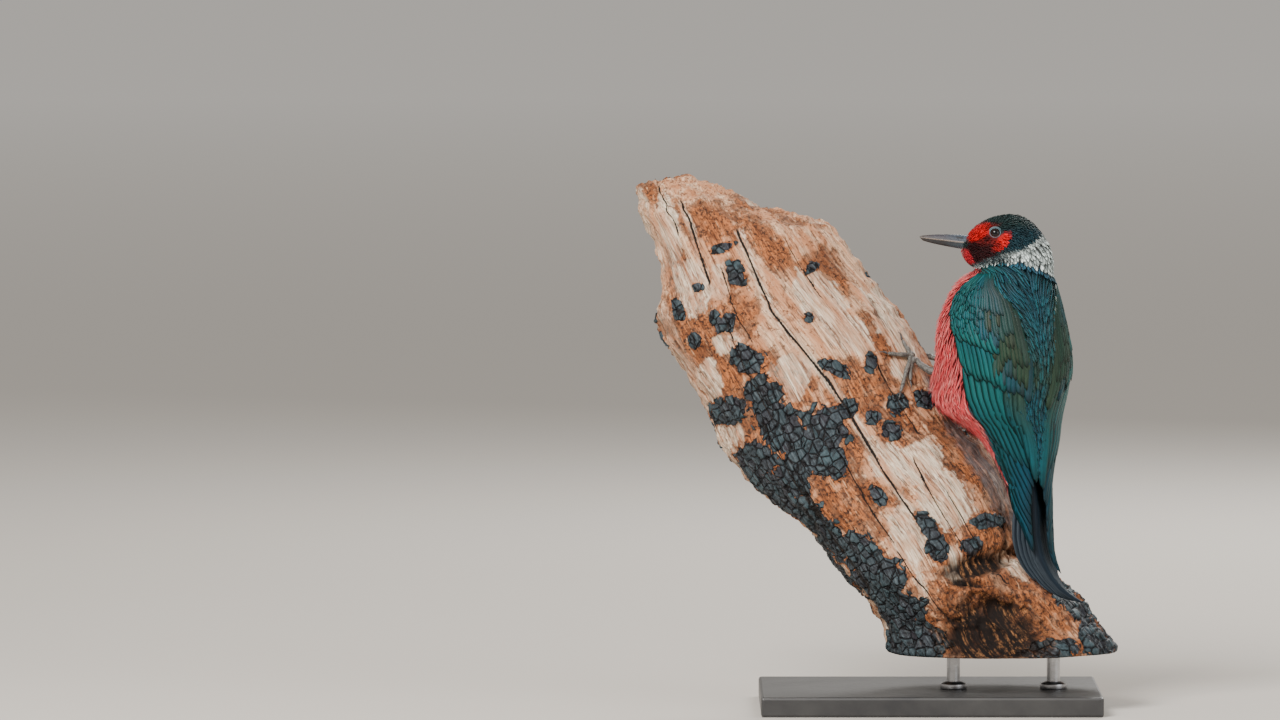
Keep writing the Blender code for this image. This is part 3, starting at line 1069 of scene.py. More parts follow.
def leaf_mesh(name: str, rings: Array, vane: Vane, half: Array, random: Array, colour: Array,
              tip: Array, root: Array, crisp: float = 1.0) -> Piece:
    """Join feathers given as rings of points into one piece.

    Args:
        name: The piece's name.
        rings: Points by feather, row and rib, in millimetres.
        vane: The feathers' shape.
        half: Half widths by feather and row.
        random: A number 0 to 1 for each feather.
        colour: Each feather's colour at the root.
        tip: Each feather's colour at the tip.
        root: Each root's place on the OFBake map.
        crisp: How strongly the painted marks along the feathers' edges show.

    Returns:
        The piece, with the attributes tint, vane and share.
    """
    count, rows, ribs = rings.shape[:3]
    thing = mesh_object(name, rings.reshape(-1, 3), *tube_faces(rows, ribs, count))
    length = np.linalg.norm(np.diff(rings.mean(2), axis=1), axis=-1).sum(1)
    share = np.broadcast_to(vane.shares()[None, :, None], (count, rows, ribs))
    across = np.broadcast_to(vane.places()[0][None, None, :], share.shape)
    chance = np.broadcast_to(random[:, None, None] * GRAIN_SHIFT, share.shape)
    local = np.stack([across * half[..., None], share * length[:, None, None], chance], axis=-1)
    put_attribute(thing, "vane", local.reshape(-1, 3))
    tint = colour[:, None, None] + (tip - colour)[:, None, None] * ease(share, 0.25, 0.85)[..., None]
    put_attribute(thing, "tint", tint.reshape(-1, 3))
    put_attribute(thing, "share", share.reshape(-1))
    put_attribute(thing, "edge", (np.abs(across) * crisp).reshape(-1))
    u = root[:, 0][:, None, None] + across * MAP_WIDTH
    v = root[:, 1][:, None, None] + share * MAP_LENGTH
    put_bake_map(thing, np.clip(np.stack([u, v], axis=-1).reshape(-1, 2), 0.0, 1.0))
    return thing


@dataclass
class Coat:
    """Sows and grows the small feathers that follow the lie of the coat."""

    form: BirdForm
    marks: Markings
    seed: int
    stray: float = 0.28
    row_gap: float = 0.86

    def sow(self, low: float, high: float, gap: float, keep: Callable[[Array, Array], Array],
            stretch: float = 1.0) -> tuple[Array, Array]:
        """Scatter feather roots evenly over the outline.

        Args:
            low: Least length along the bird.
            high: Greatest length along the bird.
            gap: Distance between neighbours in millimetres.
            keep: Function of points and angles that tells which roots stay.
            stretch: How many times wider the gaps are down the coat than across it.

        Returns:
            Lengths along the bird and angles of the roots.
        """
        rng = np.random.default_rng(self.seed)
        lengths, angles = [], []
        along, row = low, 0
        while along < high:
            ring = self.form.ring(np.array([along]))[0]
            girth = 2 * math.pi * math.sqrt((ring[3:6] @ ring[3:6] + ring[6:9] @ ring[6:9]) / 2)
            count = max(6, int(girth / gap))
            turns = (np.arange(count) + 0.5 * (row % 2)) / count * 2 * math.pi
            lengths.append(along + rng.uniform(-self.stray, self.stray, count) * gap * stretch ** 1.3)
            angles.append(turns + rng.uniform(-self.stray, self.stray, count) * 2 * math.pi / count)
            along += gap * self.row_gap * stretch
            row += 1
        lengths = np.clip(np.concatenate(lengths), 0.05, self.form.whole - 0.5)
        angles = np.concatenate(angles) % (2 * math.pi)
        stay = keep(self.form.surface(lengths, angles), angles)
        return lengths[stay], angles[stay]

    def grow(self, along: Array, angle: Array, length: Array, half: Array, vane: Vane, root: Array,
             lift: Array, lean: Array | None = None, soft: float = 0.12, seen: float = 0.6) -> Plumes:
        """Grow feathers from their roots down the coat.

        Args:
            along: Roots' lengths along the bird.
            angle: Roots' angles.
            length: Feather lengths in millimetres.
            half: Widest half widths in millimetres.
            vane: The feathers' shape.
            root: Heights of the roots over the outline.
            lift: Heights of the tips over the outline.
            lean: Turn away from straight down the coat, in radians.
            soft: How unevenly the feathers lie.
            seen: Share of the length at which a feather takes its colour from the markings.

        Returns:
            The feathers, coloured by the markings.
        """
        rng = np.random.default_rng(self.seed + 5)
        count = len(along)
        random = rng.random(count)
        turn = rng.normal(0.0, soft, count) + (0.0 if lean is None else lean)
        curve = rng.normal(0.0, soft, count)
        shares = vane.shares()
        s, a = along.astype(float).copy(), angle.astype(float).copy()
        places_s, places_a = [s.copy()], [a.copy()]
        for row in range(1, vane.rows):
            down, _, normal = self.form.slopes(s, a)
            down = unit(down)
            across = np.cross(normal, down)
            way = turn + curve * shares[row]
            step = (down * np.cos(way)[:, None] + across * np.sin(way)[:, None])
            step *= (length * (shares[row] - shares[row - 1]))[:, None]
            ds, da = self.form.step(s, a, step)
            s = np.clip(s + ds, 0.0, self.form.whole)
            a = a + da
            places_s.append(s.copy())
            places_a.append(a.copy())
        s_all, a_all = np.stack(places_s, axis=1), np.stack(places_a, axis=1)
        rise = shares[None, :] ** 0.8
        height = root[:, None] + (lift - root)[:, None] * rise
        width = half[:, None] * vane.width(shares)[None, :]
        row = int(vane.rows * seen)
        colour = self.marks.colours(self.form.surface(s_all[:, row], a_all[:, row]), a_all[:, row])
        colour = colour * (1 + rng.normal(0.0, 0.10, count))[:, None]
        tilt = rng.normal(0.0, 0.10, count)
        return Plumes(self.form, vane, s_all, a_all, height, width, colour, random, tilt=tilt)


# ---- Finishes ----
@dataclass(frozen=True)
class PlumageFinish:
    """Feather surface with barbs, a shaft line and, on the glossy feathers, a green to violet sheen painted
    into the colour by viewing angle.
    """

    name: str
    rough: float = 0.55
    barbs: float = 0.35
    shaft: float = 0.3
    rim: float = 0.0
    edge: float = 0.0
    gloss: tuple | None = None
    painted_sheen_share: float = 0.0
    sheen: float = 0.15
    fine: float = 2.2
    worn: float = 0.0
    specular: float = 0.35

    def material(self) -> Material:
        """Build the feathers' material.

        Returns:
            The material.
        """
        shader = Shader(self.name, Specular_IOR_Level=self.specular, Sheen_Weight=self.sheen,
                        Sheen_Roughness=0.45)
        across, along, random = shader.node("SeparateXYZ", {0: shader.attribute("vane", "Vector")}).outputs
        out = shader.math("ABSOLUTE", across)
        slant = shader.math("SUBTRACT", along, shader.times(out, 1.3))
        line = shader.vector(shader.times(out, 0.35), shader.times(slant, self.fine), random)
        barb = shader.noise(line, 1.0, 3.0, 0.7)
        strand = shader.vector(shader.times(across, 1.6), shader.times(along, 0.10), random)
        streak = shader.noise(strand, 1.0, 2.0, 0.6)
        shade = shader.math("MULTIPLY_ADD", barb, self.barbs * 2.0, 1.0 - self.barbs)
        shade = shader.times(shade, shader.steps(streak, (0.3, 0.72), (0.7, 1.0)))
        tint = shader.attribute("tint", "Color")
        # Painted sheen: where the surface turns away from view, the colour is mixed towards a brighter gloss
        # tint.
        if self.gloss is not None:
            facing = shader.node("LayerWeight", {"Blend": 0.42}).outputs["Facing"]
            share = shader.times(shader.steps(facing, (0.1, 0.0), (0.95, 1.0)), self.painted_sheen_share)
            tint = shader.mix(share, tint, self.gloss)
        shaft = shader.steps(shader.times(out, 2.0), (0.2, 1.0 - self.shaft), (0.62, 1.0))
        shade = shader.times(shade, shaft)
        # Painted shade: each feather darkens along its side edges, where feathers overlap.
        if self.edge:
            edge = shader.steps(shader.attribute("edge"), (0.60, 1.0), (0.95, 1.0 - self.edge))
            shade = shader.times(shade, edge)
        # Painted shade: each feather darkens near its tip, where it lies over the next row.
        if self.rim:
            rim = shader.steps(shader.attribute("share"), (0.86, 1.0), (0.985, 1.0 - self.rim))
            shade = shader.times(shade, rim)
        colour = shader.shade(tint, shade)
        # Painted highlight: pale blue-grey streaks along the feathers' side edges, set by worn.
        if self.worn:
            edge = shader.steps(shader.attribute("edge"), (0.55, 0.0), (0.98, self.worn))
            colour = shader.mix(shader.times(edge, streak), colour, (0.16, 0.20, 0.24))
        rough = shader.math("MULTIPLY_ADD", barb, 0.25, self.rough - 0.12)
        shader.wear(Base_Color=colour, Roughness=rough, Normal=shader.bump(barb, 0.00022, 0.55))
        return shader.material


# ---- The bird ----
@dataclass
class Skin:
    """One seamless skin under the feathers of head, neck and trunk."""

    form: BirdForm
    marks: Markings
    rows: int = 250
    columns: int = 150
    end_height: float = 141.8

    def depth(self, along: Array, angle: Array) -> Array:
        """Measure how far the skin lies under the feathers' outline.

        Args:
            along: Lengths along the bird, in millimetres.
            angle: Angles round the bird, in radians.

        Returns:
            Depths, in millimetres.
        """
        points = self.form.surface(along, angle)
        share = self.form.wing_share(points[..., 2])
        lead, _ = self.form.wing_edges(np.clip(share, 0, 1))
        degrees = np.abs(self.form.from_spine(angle))
        base = 0.7 + 1.5 * ease(along, 6.0, 55.0) + 1.1 * ease(along, 60.0, 95.0)
        covered = ease(lead + 3 - degrees, 0.0, 6.0) * ease(share, 0.0, 0.06)
        return base + covered * 1.6 * (1 - ease(share, 0.4, 0.7))

    def build(self) -> Piece:
        """Sweep the skin along the bird.

        Returns:
            One closed mesh.
        """
        end = float(self.form.along_at(self.end_height))
        along = np.linspace(0.05, end, self.rows)[:, None]
        angle = (np.arange(self.columns) / self.columns * 2 * math.pi)[None, :]
        along, angle = np.broadcast_arrays(along, angle)
        points = self.form.point(along, angle, self.depth(along, angle)).reshape(-1, 3)
        skin = mesh_object("skin", points, *tube_faces(self.rows, self.columns))
        outer = self.form.surface(along, angle).reshape(-1, 3)
        put_attribute(skin, "tint", self.marks.colours(outer, angle.reshape(-1)))
        return skin

    def dress(self, skin: Piece) -> None:
        """Give the skin the coat's markings and a fine downy grain.

        Args:
            skin: The skin.
        """
        shader = Shader("skin_under_plumage", Roughness=0.8, Specular_IOR_Level=0.2, Sheen_Weight=0.2)
        grain = shader.noise(shader.place(), 1.4, 5.0, 0.7)
        shade = shader.steps(grain, (0.25, 0.30), (0.8, 0.62))
        colour = shader.shade(shader.attribute("tint", "Color"), shade)
        shader.wear(Base_Color=colour, Normal=shader.bump(grain, 0.0004, 0.5))
        finish_piece(skin, shader.material, "glossy_plumage", "head", "neck", "trunk")


@dataclass
class Bill:
    """Straight chisel bill in two halves, with a ridge on top and a slit nostril."""

    tip: tuple = (-6.9, 283.2)
    lower_gap: float = 0.7
    base_x: float = 24.5
    half_width: float = 3.7
    middle_y: float = -10.0
    nostril: tuple = (17.2, 282.9)
    upper_horn: tuple = ((0.060, 0.040, 0.032), (0.052, 0.048, 0.064), (0.066, 0.100, 0.140))
    lower_horn: tuple = ((0.035, 0.026, 0.022), (0.028, 0.027, 0.031), (0.060, 0.100, 0.125))
    rows: int = 44
    ribs: int = 22

    def half(self, name: str, upper: bool) -> Piece:
        """Build one half of the bill.

        Args:
            name: The piece's name.
            upper: True for the upper half.

        Returns:
            The half, a closed loft from inside the head to the tip.
        """
        share = np.linspace(0.0, 1.0, self.rows) ** 1.25
        length = self.base_x - self.tip[0]
        front = self.tip[0] + (0.0 if upper else self.lower_gap)
        x = front + (self.base_x - front) * share
        u = (x - self.tip[0]) / length
        split = self.tip[1] - 0.15 - 3.5 * u
        top = self.tip[1] + 0.40 + 0.5 * u + 0.9 * np.sin(math.pi * u ** 0.8)
        low = self.tip[1] - 0.70 - 7.3 * u ** 0.68
        wide = self.half_width * (0.13 + 0.87 * u ** 0.80)
        turn = np.linspace(0, 2 * math.pi, self.ribs, endpoint=False)
        cos, sin = np.cos(turn), np.sin(turn)
        round_side = np.sign(sin) * np.abs(sin) ** 0.95
        rings = np.zeros((self.rows, self.ribs, 3))
        for row in range(self.rows):
            if upper:
                rise = np.where(cos > 0, (top[row] - split[row]) * (1 - np.abs(sin) ** 1.35), 0.34 * cos)
            else:
                rise = np.where(cos < 0, (low[row] - split[row]) * (1 - np.abs(sin) ** 1.75), 0.30 * cos)
            rings[row, :, 0] = x[row]
            rings[row, :, 1] = self.middle_y + round_side * wide[row] * (1.0 if upper else 0.93)
            rings[row, :, 2] = split[row] + rise + (0.10 if upper else -0.22)
        ends = ease(share, 0.0, 0.05)[:, None, None] * 0.8 + 0.2
        centre = rings.mean(1, keepdims=True)
        points = (centre + (rings - centre) * ends).reshape(-1, 3)
        thing = mesh_object(name, points, *tube_faces(self.rows, self.ribs))
        put_attribute(thing, "share", np.repeat(u, self.ribs))
        reach = np.repeat(top - split if upper else split - low, self.ribs)
        put_attribute(thing, "rise", np.abs(points[:, 2] - np.repeat(split, self.ribs)) / reach)
        ahead = points[:, 0] - self.nostril[0]
        slit = np.hypot(ahead / 2.4, (points[:, 2] - self.nostril[1] + ahead * 0.1) / 0.55)
        put_attribute(thing, "slit", (1 - ease(slit, 0.6, 1.2)) if upper else np.zeros(len(points)))
        return thing

    def dress(self, thing: Piece, node: str, upper: bool) -> None:
        """Give a half its horn, paler and bluer at the base, with fine lengthwise growth lines and painted
        shade beside the parting line.

        Args:
            thing: The half.
            node: Its CAD node.
            upper: True for the upper half.
        """
        shader = Shader(f"horn_{node}", Specular_IOR_Level=0.5, Coat_Weight=0.18, Coat_Roughness=0.3)
        share = shader.attribute("share")
        tipped, middle, base = self.upper_horn if upper else self.lower_horn
        colour = shader.coats(tipped, (share, (0.03, 0.0), (0.30, 1.0), middle),
                              (share, (0.45, 0.0), (0.85, 1.0), base))
        lines = shader.noise(shader.place((0.18, 3.2, 3.2)), 1.0, 5.0, 0.65)
        stain = shader.noise(shader.place(), 0.35, 4.0, 0.6)
        streaks = shader.steps(lines, (0.32, 0.35), (0.62, 1.0))
        colour = shader.shade(colour, shader.times(shader.steps(lines, (0.25, 0.55), (0.75, 1.0)),
                                                   shader.steps(stain, (0.3, 0.72), (0.7, 1.0))))
        rise = shader.attribute("rise")
        # Painted shade: a dark band on each half just off the parting line, where the two halves meet.
        band = shader.steps(rise, (0.10, 0.0), (0.22, 0.75), (0.40, 0.0))
        colour = shader.mix(shader.times(band, streaks), colour, (0.012, 0.010, 0.012))
        lip = shader.times(shader.steps(rise, (0.05, 1.0), (0.12, 0.0)), streaks)
        colour = shader.mix(lip, colour, (0.330, 0.250, 0.190))
        colour = shader.mix(shader.attribute("slit"), colour, (0.010, 0.008, 0.008))
        rough = shader.steps(stain, (0.3, 0.30), (0.7, 0.50))
        shader.wear(Base_Color=colour, Roughness=rough, Normal=shader.bump(lines, 0.00025, 0.5))
        finish_piece(thing, shader.material, "bill_horn", node)


@dataclass
class Eye:
    """Dark glossy eye in a ring of bare, pale blue-grey lid skin."""

    form: BirdForm
    side: int
    radius: float = 3.3
    out: float = 10.35
    profile: tuple = (
        (2.68, 1.90, 0.30), (2.74, 2.20, 0.65), (2.92, 2.34, 1.0), (3.06, 2.22, 0.35), (3.20, 1.82, 0.0),
        (3.46, 1.86, 0.05), (3.72, 2.12, 0.85), (4.00, 1.95, 0.45), (4.25, 1.20, 0.0), (4.20, 0.10, 0.0),
        (3.40, -0.30, 0.0), (2.70, 0.60, 0.1),
    )
    inner_ribs: int = 5
    seen_ribs: int = 9
    steps_round: int = 120

    def frame(self) -> tuple[Array, Array, Array, Array]:
        """Find the ball's place and how the lids lie on the head.

        Returns:
            The ball's centre, and the ways along, up and out of the lids.
        """
        middle = np.array([EYE_X, self.form.head_y - self.side * self.out, EYE_Z])
        away = np.array([-0.10, -self.side * 0.97, 0.22])
        away /= np.linalg.norm(away)
        length = np.cross(away, np.array([0.0, 0.0, 1.0]))
        length /= np.linalg.norm(length)
        return middle, length, np.cross(length, away) * -1.0, away

    def ball(self) -> Piece:
        """Shape the eyeball and mark its iris.

        Returns:
            The ball.
        """
        middle, _, _, away = self.frame()
        bpy.ops.mesh.primitive_uv_sphere_add(segments=48, ring_count=32, radius=self.radius * MM,
                                             location=tuple(middle * MM))
        thing = bpy.context.object
        thing.name = f"eyeball_{side_word(self.side)}"
        bpy.ops.object.transform_apply(location=True, rotation=False, scale=False)
        bpy.ops.object.shade_smooth()
        way = points_of(thing) - middle
        put_attribute(thing, "turn", np.arccos(np.clip((way @ away) / self.radius, -1, 1)))
        return thing

    def lids(self) -> Piece:
        """Shape a ridged band of skin that meets the ball and dips under the feathers.

        Returns:
            The lid ring.
        """
        middle, length, up, away = self.frame()
        ring = np.linspace(0, 2 * math.pi, self.steps_round, endpoint=False)
        noise = Noise(Seed.LIDS)
        points = np.zeros((len(ring), len(self.profile), 3))
        for k, (reach, rise, _) in enumerate(self.profile):
            squash = 0.97 if k < self.inner_ribs else 0.93
            along, high = np.cos(ring) * reach * 1.10, np.sin(ring) * reach * squash
            slack = np.stack([along, high, np.full(len(ring), rise)], axis=1)
            bumps = noise(slack * 2.6) * (0.10 if k < self.seen_ribs else 0.0)
            height = rise + bumps - 0.06 * along * along * (k >= self.inner_ribs)
            points[:, k] = middle + along[:, None] * length + high[:, None] * up + height[:, None] * away
        row, k = np.meshgrid(np.arange(len(ring)), np.arange(len(self.profile)), indexing="ij")
        a = row * len(self.profile) + k
        b = row * len(self.profile) + (k + 1) % len(self.profile)
        step = np.where(row == len(ring) - 1, -row * len(self.profile), len(self.profile))
        faces = np.stack([a, b, b + step, a + step], axis=-1).reshape(-1, 4)
        thing = mesh_object(f"lids_{side_word(self.side)}", points.reshape(-1, 3), faces)
        put_attribute(thing, "share", np.tile([level for _, _, level in self.profile], len(ring)))
        return thing

    def dress(self, ball: Piece, lids: Piece) -> None:
        """Give the ball its dark iris and wet gloss, and the lids their pebbled skin.

        Args:
            ball: The eyeball.
            lids: Its lid ring.
        """
        eye = Shader("eye", Roughness=0.12, Specular_IOR_Level=0.22, Coat_Weight=0.2, Coat_Roughness=0.02)
        flecks = eye.noise(eye.place(), 2.4, 3.0, 0.6)
        colour = eye.coats((0.006, 0.003, 0.003), (flecks, (0.3, 0.0), (0.7, 1.0), (0.016, 0.006, 0.004)),
                           (eye.attribute("turn"), (0.42, 1.0), (0.50, 0.0), (0.002, 0.002, 0.003)))
        eye.wear(Base_Color=colour)
        finish_piece(ball, eye.material, "eye_dark", f"eye_{side_word(self.side)}")
        skin = Shader("lid_skin", Roughness=0.48, Specular_IOR_Level=0.45, Subsurface_Weight=0.05)
        pebbles = skin.node("TexVoronoi", {"Vector": skin.place(), "Scale": 2.2}).outputs["Distance"]
        colour = skin.mix(skin.attribute("share"), (0.008, 0.012, 0.016), (0.140, 0.225, 0.260))
        colour = skin.coats(colour, (pebbles, (0.2, 0.0), (0.8, 0.45), (0.05, 0.08, 0.10)))
        skin.wear(Base_Color=colour, Normal=skin.bump(pebbles, 0.00020, 0.6))
        finish_piece(lids, skin.material, "leg_scales")


@dataclass
class BodyCoat:
    """The small feathers of crown, face, collar, back and underside."""

    form: BirdForm
    marks: Markings
    lid_reach: float = 3.85
    vent_z: float = 143.0
    rump_z: float = 160.0

    def bare(self, points: Array) -> Array:
        """Return True where a feather would cover an eye's lids."""
        gap = np.hypot((points[..., 0] - EYE_X) / 1.10, points[..., 2] - EYE_Z)
        return (gap < self.lid_reach) & (np.abs(points[..., 1] - self.form.head_y) > 6)

    def trimmed(self, plumes: Plumes) -> Plumes:
        """Leave out the feathers that lie over the eyes.

        Args:
            plumes: Feathers of the face.

        Returns:
            The same plumes, thinned.
        """
        hidden = self.bare(self.form.surface(plumes.along, plumes.angle)).any(axis=1)
        for name in ("along", "angle", "height", "half", "colour", "random", "tilt"):
            setattr(plumes, name, getattr(plumes, name)[~hidden])
        return plumes

    def on_face(self, points: Array, _angle: Array) -> Array:
        """Return True for roots in front of the collar, at any angle."""
        above, below = self.marks.collar(points)
        return (above > 0.5) & (below < 0.8)

    def on_collar(self, points: Array, _angle: Array) -> Array:
        """Return True for roots on the collar and just before it."""
        above, below = self.marks.collar(points)
        return (above > 1.2) & (below > -1.8)

    def on_breast(self, points: Array, angle: Array) -> Array:
        """Return True for roots between the wings' leading edges, from the collar to the vent."""
        above, _ = self.marks.collar(points)
        return (above < 0.2) & (self.marks.underside(points, angle) > 0.35) & (points[:, 2] > self.vent_z)

    def on_back(self, points: Array, angle: Array) -> Array:
        """Tell roots between the wings' back edges, and over the shoulders.

        Args:
            points: Points in millimetres.
            angle: Angles round the bird, in radians.

        Returns:
            True for the roots that stay.
        """
        above, _ = self.marks.collar(points)
        degrees = np.abs(self.form.from_spine(angle))
        share = self.form.wing_share(points[:, 2])
        _, back = self.form.wing_edges(np.clip(share, 0, 1))
        reach = back + 3 + 20 * sink(share, 0.36, 0.26) + 60 * sink(share, 0.05, -0.02)
        return (above < 1.5) & (self.marks.underside(points, angle) < 0.65) & (degrees < reach)

    def face(self) -> Plumes:
        """Grow the short dense feathers of crown, face and throat.

        Returns:
            The plumes.
        """
        coat = Coat(self.form, self.marks, Seed.FACE)
        along, angle = coat.sow(0.4, self.form.neck_end + 6, 1.02, self.on_face)
        size = ease(along, 0.0, 45.0)
        points = self.form.surface(along, angle)
        crest = ease(points[:, 2], 290.0, 295.0) * ease(points[:, 0], 32, 50)
        length = 2.3 + 2.6 * size + 1.6 * crest
        noise = Noise(Seed.FACE_LIE)(points * 0.3)
        half = 0.42 + 0.34 * size
        vane = Vane(rows=5, point=0.8, keel=0.08, droop=0.10, thick=0.08, root_width=0.5)
        raised = 1.1 * crest * np.maximum(0, Noise(Seed.CREST)(points * 0.5))
        lift = 0.10 + 0.25 * np.abs(noise) + raised
        plumes = coat.grow(along, angle, length, half, vane, -0.75 - 0.35 * size, lift, noise * 0.3, 0.16)
        plumes.colour = plumes.colour * (0.55 + 0.75 * plumes.random)[:, None]
        return self.trimmed(plumes)

    def bristles(self) -> Plumes:
        """Grow the fine forward bristles over the nostrils.

        Returns:
            The plumes.
        """
        coat = Coat(self.form, self.marks, Seed.BRISTLES)
        rng = np.random.default_rng(Seed.BRISTLE_ROOTS)
        count = 130
        along = rng.uniform(0.3, 3.2, count)
        angle = (rng.uniform(-1.9, 1.9, count)) % (2 * math.pi)
        vane = Vane(rows=5, point=1.0, keel=0.05, droop=0.05, thick=0.06, root_width=0.8, widest=0.3)
        return coat.grow(along, angle, np.full(count, 3.0), np.full(count, 0.17), vane, np.full(count, -0.4),
                         np.full(count, 0.25), math.pi + rng.normal(0, 0.25, count))

    def collar(self) -> Plumes:
        """Grow the broad silvery feathers of the collar.

        Returns:
            The plumes.
        """
        coat = Coat(self.form, self.marks, Seed.COLLAR)
        along, angle = coat.sow(12.0, self.form.neck_end + 12, 1.75, self.on_collar)
        points = self.form.surface(along, angle)
        back = ease(points[:, 0], 30.0, 62.0)
        vane = Vane(rows=6, point=0.6, keel=0.10, droop=0.10, thick=0.10, root_width=0.4)
        noise = Noise(Seed.COLLAR_LIE)(points * 0.9)
        lift = 0.30 + 0.35 * back + 0.2 * noise
        plumes = coat.grow(along, angle, 3.4 + 4.0 * back, 0.50 + 0.75 * back, vane, -1.1 - 0.4 * back, lift,
                           noise * 0.2, 0.12, seen=0.35)
        plumes.tip = plumes.colour * 1.25
        plumes.colour = blend(plumes.colour * 0.1, Tone.INK.value, np.full(len(plumes.colour), 0.6))
        return self.trimmed(plumes)

    def thighs(self, points: Array) -> Array:
        """Mark where the coat fluffs out over the tops of the legs.

        Args:
            points: Points in millimetres.

        Returns:
            1 over the thighs, fading to 0 round them.
        """
        level = np.zeros(len(points))
        for word in ("left", "right"):
            leg = points_of(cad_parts[f"leg_{word}"])
            top = leg[leg[:, 0] > leg[:, 0].max() - 2.5].mean(0) + np.array([0.0, 0.0, 7.0])
            gap = np.linalg.norm((points - top) * [1.0, 1.0, 0.8], axis=1)
            level = np.maximum(level, 1 - ease(gap, 4.0, 9.0))
        return level

    def breast(self) -> Plumes:
        """Grow the hair-like pink locks of breast and belly.

        Returns:
            The plumes.
        """
        coat = Coat(self.form, self.marks, Seed.BREAST)
        along, angle = coat.sow(22.0, float(self.form.along_at(self.vent_z)), 1.45, self.on_breast, 2.0)
        points, count = self.form.surface(along, angle), len(along)
        z = points[:, 2]
        low = sink(z, 262.0, 225.0)
        noise = Noise(Seed.BREAST_LIE)(points * 0.14)
        rng = np.random.default_rng(Seed.LOCKS)
        length = 8.0 + 7.0 * low + rng.uniform(-2.0, 2.0, count)
        vane = Vane(rows=6, point=1.0, keel=0.12, droop=0.12, thick=0.12, root_width=0.6, widest=0.4)
        uneven = np.abs(Noise(Seed.LOCK_LIFT)(points * 0.25))
        lift = 0.1 + 0.8 * uneven + 0.7 * (rng.random(count) > 0.80)
        lift += 0.9 * rng.random(count) ** 2 * sink(z, 215.0, 185.0)
        front = ease(np.abs(self.form.from_spine(angle)), 118.0, 138.0)
        hem = sink(z, 208.0, 190.0) * (1 - sink(z, 180.0, 172.0)) * front
        lift += 2.4 * hem * rng.random(count) ** 2 + self.thighs(points) * rng.uniform(1.6, 2.8, count)
        tucked = (1 - front) * sink(z, 215.0, 195.0)
        lift = lift * (1 - 0.85 * tucked) - 0.5 * tucked
        half = 0.50 + 0.16 * low + rng.uniform(-0.1, 0.15, count)
        plumes = coat.grow(along, angle, length, half, vane, -2.4 - 0.5 * low, lift, noise * 0.5, 0.20)
        pale = rng.random(count) ** 1.8 * 0.75
        chest = plumes.colour[:, 0] > 2.0 * plumes.colour[:, 1]
        worn = plumes.colour * (0.7 + 0.4 * rng.random(count))[:, None]
        plumes.tip = blend(worn, Tone.BLUSH.value, pale * chest)
        plumes.colour = plumes.colour * 0.55
        return plumes

    def back(self) -> Plumes:
        """Grow the long glossy feathers of mantle, back and rump.

        Returns:
            The plumes.
        """
        coat = Coat(self.form, self.marks, Seed.BACK)
        along, angle = coat.sow(22.0, float(self.form.along_at(self.rump_z)), 1.5, self.on_back, 3.4)
        points = self.form.surface(along, angle)
        low = sink(points[:, 2], 268.0, 215.0)
        degrees = self.form.from_spine(angle)
        high = 1 - sink(points[:, 2], 250.0, 205.0)
        lean = np.clip(degrees * 0.022, -0.75, 0.75) * (0.25 + 0.75 * high)
        vane = Vane(rows=7, point=0.55, keel=0.10, droop=0.12, thick=0.10, root_width=0.55, widest=0.6)
        noise = Noise(Seed.BACK_LIE)(points * 0.12)
        rng = np.random.default_rng(Seed.BACK_LIGHT)
        light = rng.random(len(along))
        lift = 0.15 + 0.30 * np.abs(noise) + 0.40 * light ** 2
        plumes = coat.grow(along, angle, 14.0 + 7.0 * low, 0.74 + 0.70 * low, vane, -1.3 - 1.1 * low, lift,
                           lean + noise * 0.10, 0.035)
        plumes.tip = blend(plumes.colour * (0.45 + 0.55 * light)[:, None], Tone.TEAL.value, 0.75 * light ** 3)
        plumes.colour = plumes.colour * 0.40
        return plumes

    def build(self) -> list[tuple[Piece, PlumageFinish, str]]:
        """Grow the whole coat.

        Returns:
            Its pieces with their finishes and slots.
        """
        crown = PlumageFinish("crown_feathers", rough=0.55, barbs=0.40, shaft=0.3, sheen=0.0, specular=0.18)
        silver = PlumageFinish("collar_feathers", rough=0.45, barbs=0.30, shaft=-0.3, sheen=0.1)
        rose = PlumageFinish("breast_feathers", rough=0.6, barbs=0.25, shaft=0.1, sheen=0.1, fine=1.2)
        glossy = PlumageFinish("back_feathers", rough=0.50, barbs=0.45, gloss=(0.010, 0.150, 0.120),
                               painted_sheen_share=0.3, shaft=-0.4, sheen=0.05, specular=0.22)
        return [
            (self.face().mesh("face_feathers"), crown, "crown_plumage"),
            (self.bristles().mesh("bill_bristles"), crown, "crown_plumage"),
            (self.collar().mesh("collar_feathers"), silver, "collar_plumage"),
            (self.breast().mesh("breast_feathers"), rose, "belly_plumage"),
            (self.back().mesh("back_feathers"), glossy, "glossy_plumage"),
        ]


